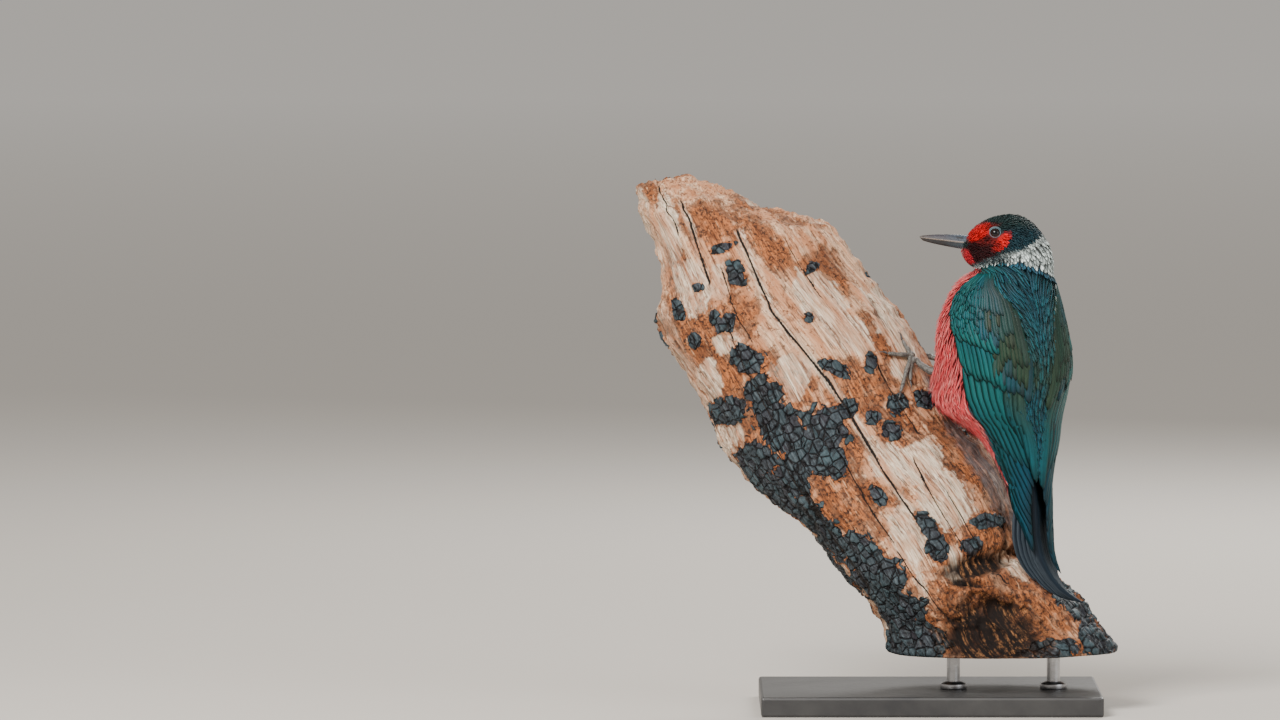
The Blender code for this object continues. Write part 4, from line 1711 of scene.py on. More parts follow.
@dataclass
class FeatherRow:
    """A row of large wing feathers. Each pair gives the value for the first and the last feather.

    Roots and tips are shares of the wing's length and of its width, half widths are millimetres, and
    the heights are those of roots and tips. A row with no tones takes its colours from the markings.
    """

    count: int
    root_share: tuple
    root_across: tuple
    tip_share: tuple
    tip_across: tuple
    half: tuple
    height: tuple
    vane: Vane
    bend: float
    stack: float
    seed: int
    tones: tuple[Tone, Tone] | None = None
    loose: float = 0.006
    marked_crisp: float = 0.74

    def spread(self, pair: tuple, rng: np.random.Generator, loose: float = 0.0) -> Array:
        """Return values from a pair's first to its last, scattered where they are loose."""
        place = np.linspace(0.0, 1.0, self.count)
        return pair[0] + (pair[1] - pair[0]) * place + rng.normal(0.0, loose, self.count)

    def plumes(self, marks: Markings, side: int) -> Plumes:
        """Lay the row out on one folded wing.

        Args:
            marks: The bird's markings.
            side: 1 for the left wing, -1 for the right.

        Returns:
            The row's feathers.
        """
        rng = np.random.default_rng(self.seed + (side < 0))
        shares = self.vane.shares()
        start, end = self.spread(self.root_share, rng), self.spread(self.tip_share, rng, self.loose)
        share = start[:, None] + (end - start)[:, None] * shares
        first, last = self.spread(self.root_across, rng), self.spread(self.tip_across, rng, 0.01)
        across = first[:, None] + (last - first)[:, None] * shares ** self.bend
        along, angle = marks.form.wing_place(share, across, side)
        height = self.height[0] + (self.height[1] - self.height[0]) * shares[None, :] ** 0.7
        height = height + (np.arange(self.count) * self.stack)[:, None]
        half = self.spread(self.half, rng)[:, None] * self.vane.width(shares)[None, :]
        warm = 1 + rng.normal(0.0, 0.10, self.count)[:, None]
        if self.tones:
            colour, tip = (tone.rows(self.count) for tone in self.tones)
        else:
            row = self.vane.rows * 2 // 3
            places = marks.form.surface(along[:, row], angle[:, row])
            tip = marks.body_colours(places, angle[:, row])
            colour = tip * 0.6
        tilt = np.full(self.count, -side * (self.vane.droop + 0.02)) + rng.normal(0.0, 0.01, self.count)
        crisp = 1.0 if self.tones else self.marked_crisp
        return Plumes(marks.form, self.vane, along, angle, height, half, colour * warm,
                      rng.random(self.count), tip * warm, tilt, crisp)


@dataclass
class Wing:
    """One folded wing: flight feathers below, then greater, median and lesser coverts, then scapulars."""

    marks: Markings
    side: int
    lesser_rows: int = 7
    lesser_columns: int = 21
    shoulder_loose: float = 0.014

    def rows(self) -> list[FeatherRow]:
        """Plan the wing's rows from the lowest layer to the highest.

        Returns:
            The rows.
        """
        long = Vane(16, 6, 0.8, widest=0.55, point=0.62, keel=0.15, droop=0.10, thick=0.22)
        tert = Vane(14, 6, 0.7, widest=0.7, point=0.5, keel=0.16, droop=0.12, thick=0.2)
        wide = Vane(10, 6, 0.7, widest=0.72, point=0.5, keel=0.13, droop=0.15, thick=0.18)
        return [
            FeatherRow(8, (0.42, 0.36), (0.10, 0.62), (1.0, 0.765), (0.50, 0.94), (4.6, 3.6), (-1.7, -0.9),
                       long, 2.2, 0.13, 3, (Tone.TEAL, Tone.DEEP)),
            FeatherRow(6, (0.30, 0.30), (0.05, 0.60), (0.60, 0.70), (0.22, 0.88), (3.7, 3.9), (-1.3, -0.35),
                       long, 1.5, 0.12, 5, (Tone.SEA, Tone.TEAL)),
            FeatherRow(4, (0.26, 0.22), (0.80, 1.05), (0.58, 0.735), (0.80, 1.0), (4.4, 4.6), (-0.7, 0.25),
                       tert, 1.0, 0.16, 7, (Tone.OLIVE, Tone.TEAL)),
            FeatherRow(10, (0.13, 0.16), (0.05, 0.74), (0.335, 0.40), (0.07, 0.70), (3.1, 3.5), (-0.7, 0.45),
                       wide, 1.0, 0.04, 9, (Tone.TEAL, Tone.SEA)),
            FeatherRow(9, (0.07, 0.09), (0.04, 0.72), (0.215, 0.275), (0.06, 0.70), (2.9, 3.2), (-0.5, 0.75),
                       wide, 1.0, 0.03, 11, (Tone.TEAL, Tone.SEA)),
        ]

    def shoulder(self) -> list[FeatherRow]:
        """Plan the scapulars, which overlap the inner part of the wing.

        Returns:
            The rows.
        """
        vane = Vane(10, 6, 0.65, widest=0.75, point=0.45, keel=0.2, droop=0.16, thick=0.18)
        table = (
            (7, (0.18, 0.20), (0.86, 1.22), (0.385, 0.44), (0.60, 1.12), (3.0, 3.6), (-0.3, 0.6), 0.05, 13),
            (9, (0.13, 0.15), (0.84, 1.24), (0.335, 0.38), (0.58, 1.10), (2.5, 2.9), (-0.2, 0.7), 0.04, 15),
            (10, (0.10, 0.11), (0.80, 1.26), (0.275, 0.32), (0.56, 1.10), (2.2, 2.6), (-0.1, 0.75), 0.04, 17),
            (11, (0.06, 0.07), (0.76, 1.24), (0.22, 0.26), (0.52, 1.06), (2.0, 2.3), (-0.1, 0.8), 0.02, 19),
            (11, (0.02, 0.03), (0.72, 1.22), (0.165, 0.20), (0.50, 1.04), (1.8, 2.1), (-0.1, 0.8), 0.02, 21),
            (11, (-0.02, -0.01), (0.68, 1.16), (0.11, 0.14), (0.48, 1.00), (1.7, 2.0), (-0.1, 0.8), 0.02, 23),
        )
        return [FeatherRow(*pairs, vane, 1.0, stack, seed, loose=self.shoulder_loose)
                for *pairs, stack, seed in table]

    def lesser(self) -> Plumes:
        """Scatter the small scale-like feathers of the shoulder.

        Returns:
            The plumes.
        """
        form, rng = self.marks.form, np.random.default_rng(Seed.LESSER + (self.side < 0))
        vane = Vane(rows=6, point=0.45, keel=0.14, droop=0.20, thick=0.14)
        rows, columns = self.lesser_rows, self.lesser_columns
        count = rows * columns
        share = np.repeat(np.linspace(-0.035, 0.125, rows), columns) + rng.normal(0, 0.005, count)
        across = np.tile(np.linspace(-0.02, 0.78, columns), rows) + rng.normal(0, 0.014, count)
        across += (np.repeat(np.arange(rows), columns) % 2) * 0.028
        shares = vane.shares()
        length = 0.070 + 0.022 * rng.random(count)
        turn = rng.normal(0.0, 0.02, count) - 0.02
        path = share[:, None] + length[:, None] * shares
        along, angle = form.wing_place(path, across[:, None] + turn[:, None] * shares, self.side)
        height = -0.5 + (1.20 + 0.25 * rng.random(count))[:, None] * shares[None, :] ** 0.8
        half = (1.30 + 0.35 * rng.random(count))[:, None] * vane.width(shares)[None, :]
        colour = blend(Tone.TEAL.rows(count), Tone.SEA.value, rng.random(count))
        colour = blend(colour, Tone.DEEP.value, ease(across, 0.35, 0.75) * 0.7)
        colour *= (0.60 + 0.70 * rng.random(count))[:, None]
        return Plumes(form, vane, along, angle, height, half, colour, rng.random(count))

    def build(self) -> Piece:
        """Grow the whole wing.

        Returns:
            One piece.
        """
        flight, shoulder = ([row.plumes(self.marks, self.side) for row in rows]
                            for rows in (self.rows(), self.shoulder()))
        layers = [*flight, self.lesser(), *shoulder]
        parts = [layer.mesh(f"layer_{k}") for k, layer in enumerate(layers)]
        return joined(f"wing_{side_word(self.side)}_feathers", parts)

    def dress(self, wing: Piece) -> None:
        """Give the wing its glossy blue-green barbs, with painted shade along the feathers' edges and tips.

        Args:
            wing: The wing.
        """
        finish = PlumageFinish("wing_feathers", rough=0.46, barbs=0.50, rim=0.58, edge=0.72, shaft=0.35,
                               gloss=(0.012, 0.190, 0.150), painted_sheen_share=0.26, sheen=0.0, specular=0.19)
        finish_piece(wing, finish.material(), "glossy_plumage", f"wing_{side_word(self.side)}")


@dataclass
class Tail:
    """Ten stiff pointed tail feathers that prop the bird against the wood."""

    form: BirdForm
    table: tuple = (
        (143.0, 57.6, -25.6, 9.5, 4.6), (139.8, 58.2, -26.0, 11.0, 4.5), (126.1, 59.4, -27.0, 13.5, 4.2),
        (114.7, 60.2, -27.5, 15.3, 3.6), (104.5, 61.0, -28.0, 16.0, 3.0), (95.0, 62.9, -29.5, 15.6, 2.4),
        (88.5, 65.3, -31.0, 14.6, 2.0), (79.6, 70.7, -34.0, 13.0, 1.7), (73.7, 75.9, -35.5, 11.4, 1.4),
        (68.9, 82.3, -34.5, 8.2, 1.1), (64.6, 90.8, -32.0, 2.6, 0.8),
    )
    ends: tuple = (0.995, 0.955, 0.89, 0.80, 0.69)
    order: tuple = (4, -4, 3, -3, 2, -2, 1, -1, 0.25, -0.25)

    def build(self) -> Piece:
        """Lay the tail's feathers.

        Returns:
            One piece.
        """
        table = np.array(self.table)
        steps = np.linalg.norm(np.diff(table[:, :3], axis=0), axis=1)
        run = np.concatenate([[0.0], np.cumsum(steps)]) / steps.sum()
        vane = Vane(rows=22, ribs=6, root_width=0.7, widest=0.5, point=0.85, keel=0.35, droop=0.10, thick=0.3)
        shares = vane.shares()
        across, top = vane.places()
        rng = np.random.default_rng(Seed.TAIL)
        count = len(self.order)
        rings = np.zeros((count, vane.rows, vane.ribs, 3))
        halves = np.zeros((count, vane.rows))
        for n, spot in enumerate(self.order):
            end = self.ends[min(4, int(abs(spot)))]
            place = shares * end
            centre = np.stack([np.interp(place, run, table[:, c]) for c in (1, 2, 0)], axis=1)
            wide, deep = np.interp(place, run, table[:, 3]), np.interp(place, run, table[:, 4])
            line = np.gradient(centre, axis=0)
            line /= np.linalg.norm(line, axis=1)[:, None]
            up = np.cross(np.tile(self.form.left, (vane.rows, 1)), line)
            up *= np.sign((up @ self.form.back).mean())
            up /= np.linalg.norm(up, axis=1)[:, None]
            side = np.cross(line, up)
            offset = spot / 4.0 * np.maximum(wide - 3.6, 1.2) * (0.75 + 0.25 * shares)
            half = (4.3 - 0.12 * abs(spot)) * vane.width(shares)
            level = deep * (0.75 - 0.30 * (spot / 4.0) ** 2) - 1.5 + 0.22 * n - 0.5 * (1 - n / 9)
            halves[n] = half
            for k in range(vane.ribs):
                lift = level + vane.lift(across[k], top[k], half)
                rings[n, :, k] = centre + side * (offset + half * across[k])[:, None] + up * lift[:, None]
        colour = Tone.TAIL.rows(count) * (1 + rng.normal(0.0, 0.06, count)[:, None])
        root = np.stack([0.5 + 0.03 * np.arange(count), np.full(count, 0.992)], axis=1)
        return leaf_mesh("tail_feathers", rings, vane, halves, rng.random(count), colour, colour, root)

    def dress(self, tail: Piece) -> None:
        """Give the tail its blue-black vanes with a painted pale highlight along their edges.

        Args:
            tail: The tail.
        """
        finish = PlumageFinish("tail_feathers", rough=0.50, barbs=0.30, shaft=-0.6, gloss=(0.02, 0.07, 0.11),
                               painted_sheen_share=0.25, sheen=0.0, worn=0.55, specular=0.14)
        finish_piece(tail, finish.material(), "tail_plumage", "tail")


@dataclass
class Foot:
    """One leg and foot with its scutes, and the four claws."""

    side: int
    knuckle: float = 1.9
    voxel: float = 0.32
    plate_rise: float = 0.16

    def build(self) -> tuple[Piece, Piece]:
        """Carve the scales of leg and foot and smooth the claws.

        Returns:
            The limb and its claws.
        """
        word = side_word(self.side)
        limb = merged_copy(f"foot_{word}_scales", f"leg_{word}", f"foot_{word}")
        ends = [np.array([vertex.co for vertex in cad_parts[f"{part}_{word}"].data.vertices])
                for part in ("leg", "foot")]
        gaps = np.linalg.norm(ends[0][:, None] - ends[1][None], axis=2)
        near = np.argsort(gaps, axis=None)[:12]
        rows, columns = np.unravel_index(near, gaps.shape)
        joint = (ends[0][rows] + ends[1][columns]).mean(0) / 2
        bpy.ops.mesh.primitive_uv_sphere_add(segments=24, ring_count=16, radius=self.knuckle * MM,
                                             location=tuple(joint))
        limb = joined(limb.name, [limb, bpy.context.object])
        remesh(limb, self.voxel, 5)
        points, normals = points_of(limb), normals_of(limb)
        gap, label = Noise(Seed.SCUTES + self.side).cells(points * np.array([0.85, 0.85, 1.15]))
        plates = ease(gap, 0.0, 0.22)
        points += normals * (self.plate_rise * plates - 0.05)[:, None]
        move_points(limb, points)
        put_attribute(limb, "plates", plates)
        put_attribute(limb, "shade", label)
        limb.data.shade_smooth()
        claws = merged_copy(f"claws_{word}", *[f"claw_{word}_{k}" for k in range(1, 5)])
        curve = claws.modifiers.new("round", "SUBSURF")
        curve.levels = curve.render_levels = 3
        apply_all(claws)
        claws.data.shade_smooth()
        return limb, claws

    def dress(self, limb: Piece, claws: Piece) -> None:
        """Give the leg its grey scutes and the claws their dark horn.

        Args:
            limb: Leg and foot.
            claws: The claws.
        """
        word = side_word(self.side)
        skin = Shader(f"scutes_{word}", Roughness=0.5, Specular_IOR_Level=0.4)
        grain = skin.noise(skin.place(), 2.2, 5.0, 0.65)
        colour = skin.mix(skin.attribute("plates"), (0.040, 0.037, 0.035), (0.205, 0.195, 0.175))
        shade = skin.times(skin.steps(skin.attribute("shade"), (0.0, 0.72), (1.0, 1.0)),
                           skin.steps(grain, (0.3, 0.72), (0.75, 1.0)))
        skin.wear(Base_Color=skin.shade(colour, shade), Normal=skin.bump(grain, 0.00018, 0.5))
        finish_piece(limb, skin.material, "leg_scales", f"leg_{word}", f"foot_{word}")
        horn = Shader(f"claw_horn_{word}", Specular_IOR_Level=0.5, Coat_Weight=0.25, Coat_Roughness=0.2)
        lines = horn.noise(horn.place((0.9, 0.9, 2.6)), 1.2, 4.0, 0.6)
        colour = horn.coats((0.016, 0.015, 0.017), (lines, (0.3, 0.0), (0.75, 1.0), (0.070, 0.064, 0.062)))
        horn.wear(Base_Color=colour, Roughness=horn.steps(lines, (0.3, 0.24), (0.7, 0.42)),
                  Normal=horn.bump(lines, 0.00012, 0.4))
        finish_piece(claws, horn.material, "claw_horn", *[f"claw_{word}_{k}" for k in range(1, 5)])


# ---- The snag and its stand ----
@dataclass
class Grain:
    """Places measured along and across the wood's fibres, and noise drawn out along them."""

    points: Array
    lean: tuple
    noise: Noise
    twist_scale: float = 0.012
    twist_reach: float = 6.0

    def __post_init__(self) -> None:
        """Measure the points along the trunk, and across it with a slow twist."""
        axis = np.array(self.lean) / np.linalg.norm(self.lean)
        first = np.cross(axis, [0.0, 1.0, 0.0])
        first /= np.linalg.norm(first)
        twist = self.noise(self.points * self.twist_scale) * self.twist_reach
        self.along = self.points @ axis
        self.one, self.two = self.points @ first + twist, self.points @ np.cross(axis, first) + twist

    def scaled(self, across: float, length: float, shift: float = 0.0) -> Array:
        """Return places scaled across and along the fibres."""
        return np.stack([self.one * across, self.two * across, self.along * length + shift], axis=1)

    def fibres(self, across: float, length: float, shift: float = 0.0) -> Array:
        """Return layered noise at scaled places."""
        return self.noise.layered(self.scaled(across, length, shift), 3)


@dataclass
class Snag:
    """Leaning length of weathered, fire-scorched trunk with cracks, charred plates and a dark hollow.

    The tables of ovals give middle X and Z, half length, half width and tilt in degrees.
    """

    voxel: float = 1.4
    draft_voxel: float = 2.4
    lean: tuple = (-0.545, 0.180, 0.819)
    foot_zone: tuple = (34.4, 37.0)
    top_zone: tuple = (280.0, 304.0)
    most_out: float = 2.4
    most_in: float = 5.0
    most_deep: float = 9.0
    stored: tuple = ("scorch", "pale", "crack", "block", "hollow", "silver", "label", "flake", "burn",
                     "crack_side", "crack_near", "grain", "blocks")
    cracks: tuple = (
        ((-163, 313), (-158, 298), (-152, 285), 0.6), ((-149, 302), (-141, 280), (-133, 256), 0.9),
        ((-115, 285), (-105, 262), (-96, 240), 1.0), ((-96, 240), (-78, 218), (-62, 199), 1.0),
        ((-62, 199), (-49, 181), (-37, 160), 1.1), ((-37, 160), (-25, 140), (-10, 118), 0.9),
        ((-125, 262), (-118, 240), (-108, 222), 0.5), ((-86, 280), (-76, 262), (-66, 248), 0.4),
        ((-122, 232), (-112, 205), (-96, 176), 0.5), ((-30, 205), (-20, 186), (-8, 168), 0.5),
        ((-100, 170), (-84, 140), (-68, 116), 0.6), ((-52, 150), (-40, 128), (-24, 104), 0.6),
        ((-75, 130), (-60, 104), (-38, 74), 0.7), ((-10, 150), (4, 124), (22, 96), 0.5),
        ((10, 130), (26, 104), (44, 80), 0.5), ((-20, 96), (0, 70), (20, 44), 0.6),
    )
    plates: tuple = (
        (-110.7, 210, 12, 9, -30), (-100, 189, 14, 11, -50), (-90, 170, 20, 14, -55), (-76, 156, 16, 13, -50),
        (-62.7, 170, 14, 14, -60), (-62, 152, 14, 11, -50), (-121, 178, 9, 12, -70), (-104, 149, 14, 12, -60),
        (-57, 205, 10, 4.5, -28), (-50.7, 180, 6, 8, -60), (-35.7, 207.5, 4, 6, 0), (-35, 176, 6, 5, 0),
        (-24, 168, 6, 7, -60), (-20, 183, 6, 7, -60), (-2.7, 186, 8, 5.5, -20), (-116.4, 260, 5.5, 9, 20),
        (-124, 276, 8, 3, 20), (-151, 238, 3.5, 8, 15), (-141, 219.5, 4, 5, 0), (-128, 232, 4, 8, 20),
        (-121, 232, 4.5, 7, 10), (-71.4, 264, 5, 3.6, 35), (-72.5, 235, 3.4, 2.8, 0), (-139, 252, 3.6, 3, 0),
        (-96, 130, 18, 14, -60), (-80, 116, 18, 13, -55), (-84, 138, 14, 10, -60), (-64, 106, 22, 10, -60),
        (-42, 96, 16, 12, -50), (-34, 78, 18, 18, -55), (-22, 58, 20, 18, -50), (-12, 42, 22, 16, 0),
        (-2, 112, 10, 5, -50), (3, 100, 6, 10, 20), (34, 114, 11, 4.5, 0), (24, 100, 7, 6, 0),
        (86, 66, 16, 9, -45), (100, 44, 16, 9, -45), (70, 40, 20, 6, 0), (-32, 130, 7, 4, -50),
    )
    scorches: tuple = (
        (-142, 226, 17, 30, 15), (-150, 256, 8, 24, 15), (-118, 232, 14, 15, 0), (-133, 290, 20, 13, -20),
        (-84, 196, 20, 15, -30), (-50, 195, 14, 15, -20), (-36, 190, 12, 24, -30), (-90, 150, 40, 30, -55),
        (-120, 190, 10, 26, 10), (-60, 160, 24, 22, -50), (-20, 170, 16, 14, -40), (40, 60, 50, 34, -10),
        (-60, 110, 34, 26, -50), (-98, 278, 26, 9, -45), (-70, 268, 14, 4, 15), (-58, 262, 6, 16, 35),
        (-40, 132, 22, 9, -10), (2, 110, 14, 14, 0), (34, 108, 16, 16, 0), (20, 150, 12, 30, 30),
        (-76, 294, 24, 5, -8), (-128, 218, 20, 12, -20), (-112, 240, 9, 8, 0), (-168, 308, 5, 9, 20),
        (-30, 222, 6, 20, 35), (-108, 302, 16, 5, -25),
    )
    pale: tuple = (
        (-142, 252, 9, 16, 12), (-126, 256, 6, 10, 0), (-122, 219, 8, 7, 0), (-82, 203, 12, 12, -50),
        (-157, 290, 6, 20, 12), (-66, 246, 18, 13, -50), (-50, 226, 16, 10, -40), (-88, 190, 8, 12, -60),
        (-14, 207, 8, 12, -50), (-24, 150, 16, 10, -50), (8, 128, 18, 14, -50), (-132, 196, 6, 14, 10),
        (-14, 106, 11, 18, 20), (-6, 150, 12, 14, -50), (-20, 232, 12, 26, 38), (14, 90, 6, 10, 20),
        (-6, 72, 3, 14, 10), (52, 86, 10, 5, -40),
    )
    grey: tuple = ((26, 158, 8, 30, 32), (42, 128, 7, 24, 28), (8, 186, 6, 14, 34))
    hollow: tuple = ((36, 46, 32, 26, 0), (28, 90, 22, 6.5, 12), (20, 80, 10, 4, -10))

    def ovals(self, points: Array, table: tuple, wobble: Array, soft: float = 0.3) -> Array:
        """Mark the insides of tilted ovals on the display side.

        Args:
            points: Points in millimetres.
            table: The ovals.
            wobble: Unevenness of their edges.
            soft: How soft their edges are.

        Returns:
            1 inside any oval, fading to 0 at its ragged edge.
        """
        level = np.zeros(len(points))
        for x, z, wide, high, degrees in table:
            gap = oval(points, (x, z), (wide, high), degrees) + wobble
            level = np.maximum(level, 1 - ease(gap, 1 - soft, 1 + soft))
        return level

    def crack_lines(self, points: Array, front: Array, grain: Array) -> tuple[Array, Array, Array, Array]:
        """Measure the points against the drying cracks of the display side.

        Args:
            points: Points in millimetres.
            front: 1 on the display side, 0 behind.
            grain: Unevenness that makes the cracks waver.

        Returns:
            Depth of the groove and of the pale lip beside it, 0 to 1, then the signed distance from
            the nearest crack in its own widths, and 1 near a crack, fading to 0.
        """
        groove, lip, near = np.zeros((3, len(points)))
        side, least = np.full(len(points), 9.0), np.full(len(points), 99.0)
        flat = points[:, [0, 2]] + grain[:, None] * np.array([0.9, 0.5])
        for a, b, c, wide in self.cracks:
            for start, end in ((a, b), (b, c)):
                start, way = np.array(start, dtype=float), np.subtract(end, start).astype(float)
                out = flat - start
                share = np.clip((out @ way) / (way @ way), 0, 1)
                gap = np.linalg.norm(out - share[:, None] * way, axis=1)
                offset = (out[:, 0] * way[1] - out[:, 1] * way[0]) / np.linalg.norm(way)
                dip = 1 - ease(gap, wide * 0.3, wide * 1.2 + 1.6)
                groove = np.maximum(groove, dip * front * min(1, wide))
                lip = np.maximum(lip, (1 - ease(gap, wide * 1.8, wide * 2.8)) * front * (wide > 0.8))
                near = np.maximum(near, (1 - ease(gap, 1.6, 3.4)) * front)
                side = np.where(gap / wide < least, offset / wide, side)
                least = np.minimum(least, gap / wide)
        return groove, lip, side, near

    def chips(self, grain: Grain) -> dict[str, Array]:
        """Split the wood into blocks of char and longer flakes.

        Args:
            grain: The wood's grain.

        Returns:
            The blocks' places, a number 0 to 1 for each block and each flake, and the blocks' relief.
        """
        cells, points = Noise(Seed.CHIPS), grain.points
        turned = grain.scaled(0.145, 0.115)
        blocks = turned + grain.noise(points * 0.10)[:, None] * 0.18
        gap, label = cells.cells(blocks, boxy=True)
        finer_gap, _ = cells.cells(turned * np.array([1.3, 1.3, 2.7]) + 5.0, boxy=True)
        longer = grain.scaled(0.17, 0.042) + grain.noise(points * 0.07)[:, None] * 0.30
        _, flake = cells.cells(longer, boxy=True)
        block = ease(gap, 0.0, 0.10) * (0.55 + 0.45 * ease(finer_gap, 0.0, 0.07))
        return {"blocks": blocks, "label": label, "flake": flake, "block": block}

    def fire(self, points: Array, levels: dict[str, Array]) -> dict[str, Array]:
        """Work out what the fire did.

        Args:
            points: Points in millimetres.
            levels: The levels so far.

        Returns:
            How burnt the wood is, where it is charred and where it is only scorched.
        """
        front, ragged, broad = levels["front"], levels["ragged"], levels["broad"]
        burnt = self.ovals(points, self.plates, ragged, 0.45) * front
        behind = ease(broad + ragged + (140 - points[:, 2]) * 0.0035, -0.10, 0.40) * (1 - front)
        burnt = np.maximum(burnt, behind)
        char = ease(burnt + ragged * 0.25 - 0.20 - 0.55 * levels["label"], -0.02, 0.03)
        scorch = self.ovals(points, self.scorches, ragged * 1.3, 0.5) * front
        scorch = np.maximum(scorch, ease(broad + ragged, -0.25, 0.25) * (1 - front))
        scorch = np.maximum(scorch, ease(burnt, 0.0, 0.5))
        flaked = ease(scorch + ragged * 0.4 - 0.10 - 0.75 * levels["flake"], -0.05, 0.06)
        return {"burn": burnt + ragged * 0.3, "char": char, "scorch": 0.30 * scorch + 0.70 * flaked}

    def weather(self, grain: Grain, normals: Array, levels: dict[str, Array]) -> dict[str, Array]:
        """Work out the pale and silver wood, the cracks and the hollow.

        Args:
            grain: The wood's grain.
            normals: The way each point faces.
            levels: The levels so far.

        Returns:
            A level for each of them, and the distance from the nearest crack.
        """
        front, ragged, bare = levels["front"], levels["ragged"], 1 - levels["char"]
        points = grain.points
        pale = self.ovals(points, self.pale, ragged, 0.35) * front
        pale = ease(pale + ragged * 0.3 - 0.15 - 0.5 * (1 - levels["flake"]), -0.05, 0.06)
        pale = np.maximum(pale, ease(grain.fibres(0.03, 0.008, 90.0), 0.25, 0.5) * (1 - front))
        rim = ease(-normals[:, 0], 0.55, 0.85)
        pale = np.maximum(pale, rim * ease(grain.fibres(0.05, 0.01, 20.0), -0.4, 0.0)) * bare
        groove, lip, side, near = self.crack_lines(points, front, levels["fibres"])
        seams = np.abs(grain.fibres(0.030, 0.0016, 70.0))
        return {
            "pale": np.maximum(pale, lip * bare), "groove": groove, "crack_side": side, "crack_near": near,
            "crack": (1 - ease(seams, 0.004, 0.022)) * (0.9 - 0.45 * front),
            "silver": self.ovals(points, self.grey, ragged, 0.3) * front,
            "hollow": self.ovals(points, self.hollow, ragged * 0.8, 0.4) * front,
        }

    def relief(self, grain: Grain, normals: Array, levels: dict[str, Array]) -> Array:
        """Work out how far the surface stands out from the CAD form.

        Args:
            grain: The wood's grain.
            normals: The way each point faces.
            levels: The levels of what lies on the surface.

        Returns:
            The heights in millimetres, below zero for dips.
        """
        points, noise, bare, hollow = grain.points, grain.noise, 1 - levels["char"], levels["hollow"]
        lift = grain.fibres(0.055, 0.004) * 1.2 + levels["fibres"] * 0.42
        lift = lift + noise.layered(points * 0.5, 2) * 0.18
        lift = lift + levels["char"] * (1.1 * levels["block"] - 0.1 + 0.9 * (levels["label"] - 0.4))
        lift = lift - np.maximum(levels["crack"] * 3.0, levels["groove"] * 2.6) + levels["pale"] * 0.25
        lift = lift - 0.4 * ease(levels["scorch"], 0.3, 0.8) * bare
        lift = lift + (levels["flake"] - 0.5) * 0.8 * bare * (1 - hollow)
        depth = 4.2 + 3.0 * ease(levels["broad"], -0.3, 0.4) - 2.2 * grain.fibres(0.45, 0.05, 33.0)
        lift = np.clip(lift, -self.most_in, self.most_out) - hollow * depth
        lift = lift + ease(points[:, 2], *self.top_zone) * (grain.fibres(0.22, 0.01, 15.0) * 2.4 - 0.4)
        edge = ease(np.abs(normals[:, 1]), 0.75, 0.2)
        lift = lift + edge * noise.layered(points * np.array([0.12, 0.12, 0.10]), 3) * 1.5
        return np.clip(lift, -self.most_deep, self.most_out) * ease(points[:, 2], *self.foot_zone)

    def build(self) -> Piece:
        """Carve the wood from its CAD form.

        Returns:
            The snag.
        """
        wood = merged_copy("snag_wood", "snag")
        remesh(wood, self.voxel, 6)
        points, normals = points_of(wood), normals_of(wood)
        grain = Grain(points, self.lean, Noise(Seed.WOOD))
        levels = {"front": ease(-normals[:, 1], 0.0, 0.35), "fibres": grain.fibres(0.35, 0.018, 40.0),
                  "ragged": grain.noise.layered(points * 0.16, 3) * 0.30,
                  "broad": grain.noise.layered(points * 0.025 + 9.0, 2), "grain": grain.scaled(1.0, 0.06)}
        levels |= self.chips(grain)
        levels |= self.fire(points, levels)
        levels |= self.weather(grain, normals, levels)
        moved = points + normals * self.relief(grain, normals, levels)[:, None]
        moved[:, 2] = np.maximum(moved[:, 2], points[:, 2].min())
        move_points(wood, moved)
        wood.data.shade_smooth()
        for name in self.stored:
            put_attribute(wood, name, levels[name])
        return wood

    def wood_colour(self, shader: Shader, looks: dict[str, Socket]) -> Socket:
        """Colour the wood that the fire left.

        Args:
            shader: The wood's material.
            looks: Its noises by name.

        Returns:
            Cream wood with rusty scorches, white scars, dark hairs and silver.
        """
        fine, broad, soft, blotches = (looks[name] for name in ("fine", "broad", "soft", "blotches"))
        spots, dashes, flake = looks["spots"], looks["dashes"], shader.attribute("flake")
        cream = shader.coats(
            (0.330, 0.145, 0.070),
            (fine, (0.34, 0.0), (0.60, 1.0), (0.820, 0.560, 0.370)),
            (flake, (0.58, 0.0), (0.64, 0.55), (0.560, 0.225, 0.100)),
            (broad, (0.46, 0.0), (0.60, 0.75), (0.480, 0.190, 0.085)),
            (spots, (0.56, 0.0), (0.63, 0.9), (0.130, 0.045, 0.022)),
            (dashes, (0.57, 0.0), (0.62, 0.85), (0.110, 0.040, 0.022)))
        rust = shader.coats(
            (0.070, 0.020, 0.009),
            (fine, (0.36, 0.0), (0.62, 1.0), (0.530, 0.180, 0.062)),
            (flake, (0.30, 0.55), (0.36, 0.0), (0.130, 0.045, 0.020)),
            (spots, (0.49, 0.0), (0.58, 0.92), (0.026, 0.013, 0.010)),
            (dashes, (0.34, 0.65), (0.41, 0.0), (0.720, 0.420, 0.240)))
        white = shader.coats(
            (0.380, 0.250, 0.155),
            (fine, (0.36, 0.0), (0.58, 1.0), (0.880, 0.750, 0.590)),
            (blotches, (0.50, 0.0), (0.58, 0.8), (0.520, 0.270, 0.160)),
            (blotches, (0.38, 0.7), (0.45, 0.0), (0.400, 0.330, 0.260)),
            (dashes, (0.55, 0.0), (0.60, 0.85), (0.170, 0.070, 0.040)),
            (soft, (0.54, 0.0), (0.64, 0.5), (0.560, 0.330, 0.200)))
        lead = shader.coats((0.050, 0.045, 0.052), (fine, (0.36, 0.0), (0.60, 1.0), (0.300, 0.280, 0.290)))
        scorch = shader.times(shader.attribute("scorch"), shader.steps(soft, (0.28, 0.60), (0.50, 1.0)))
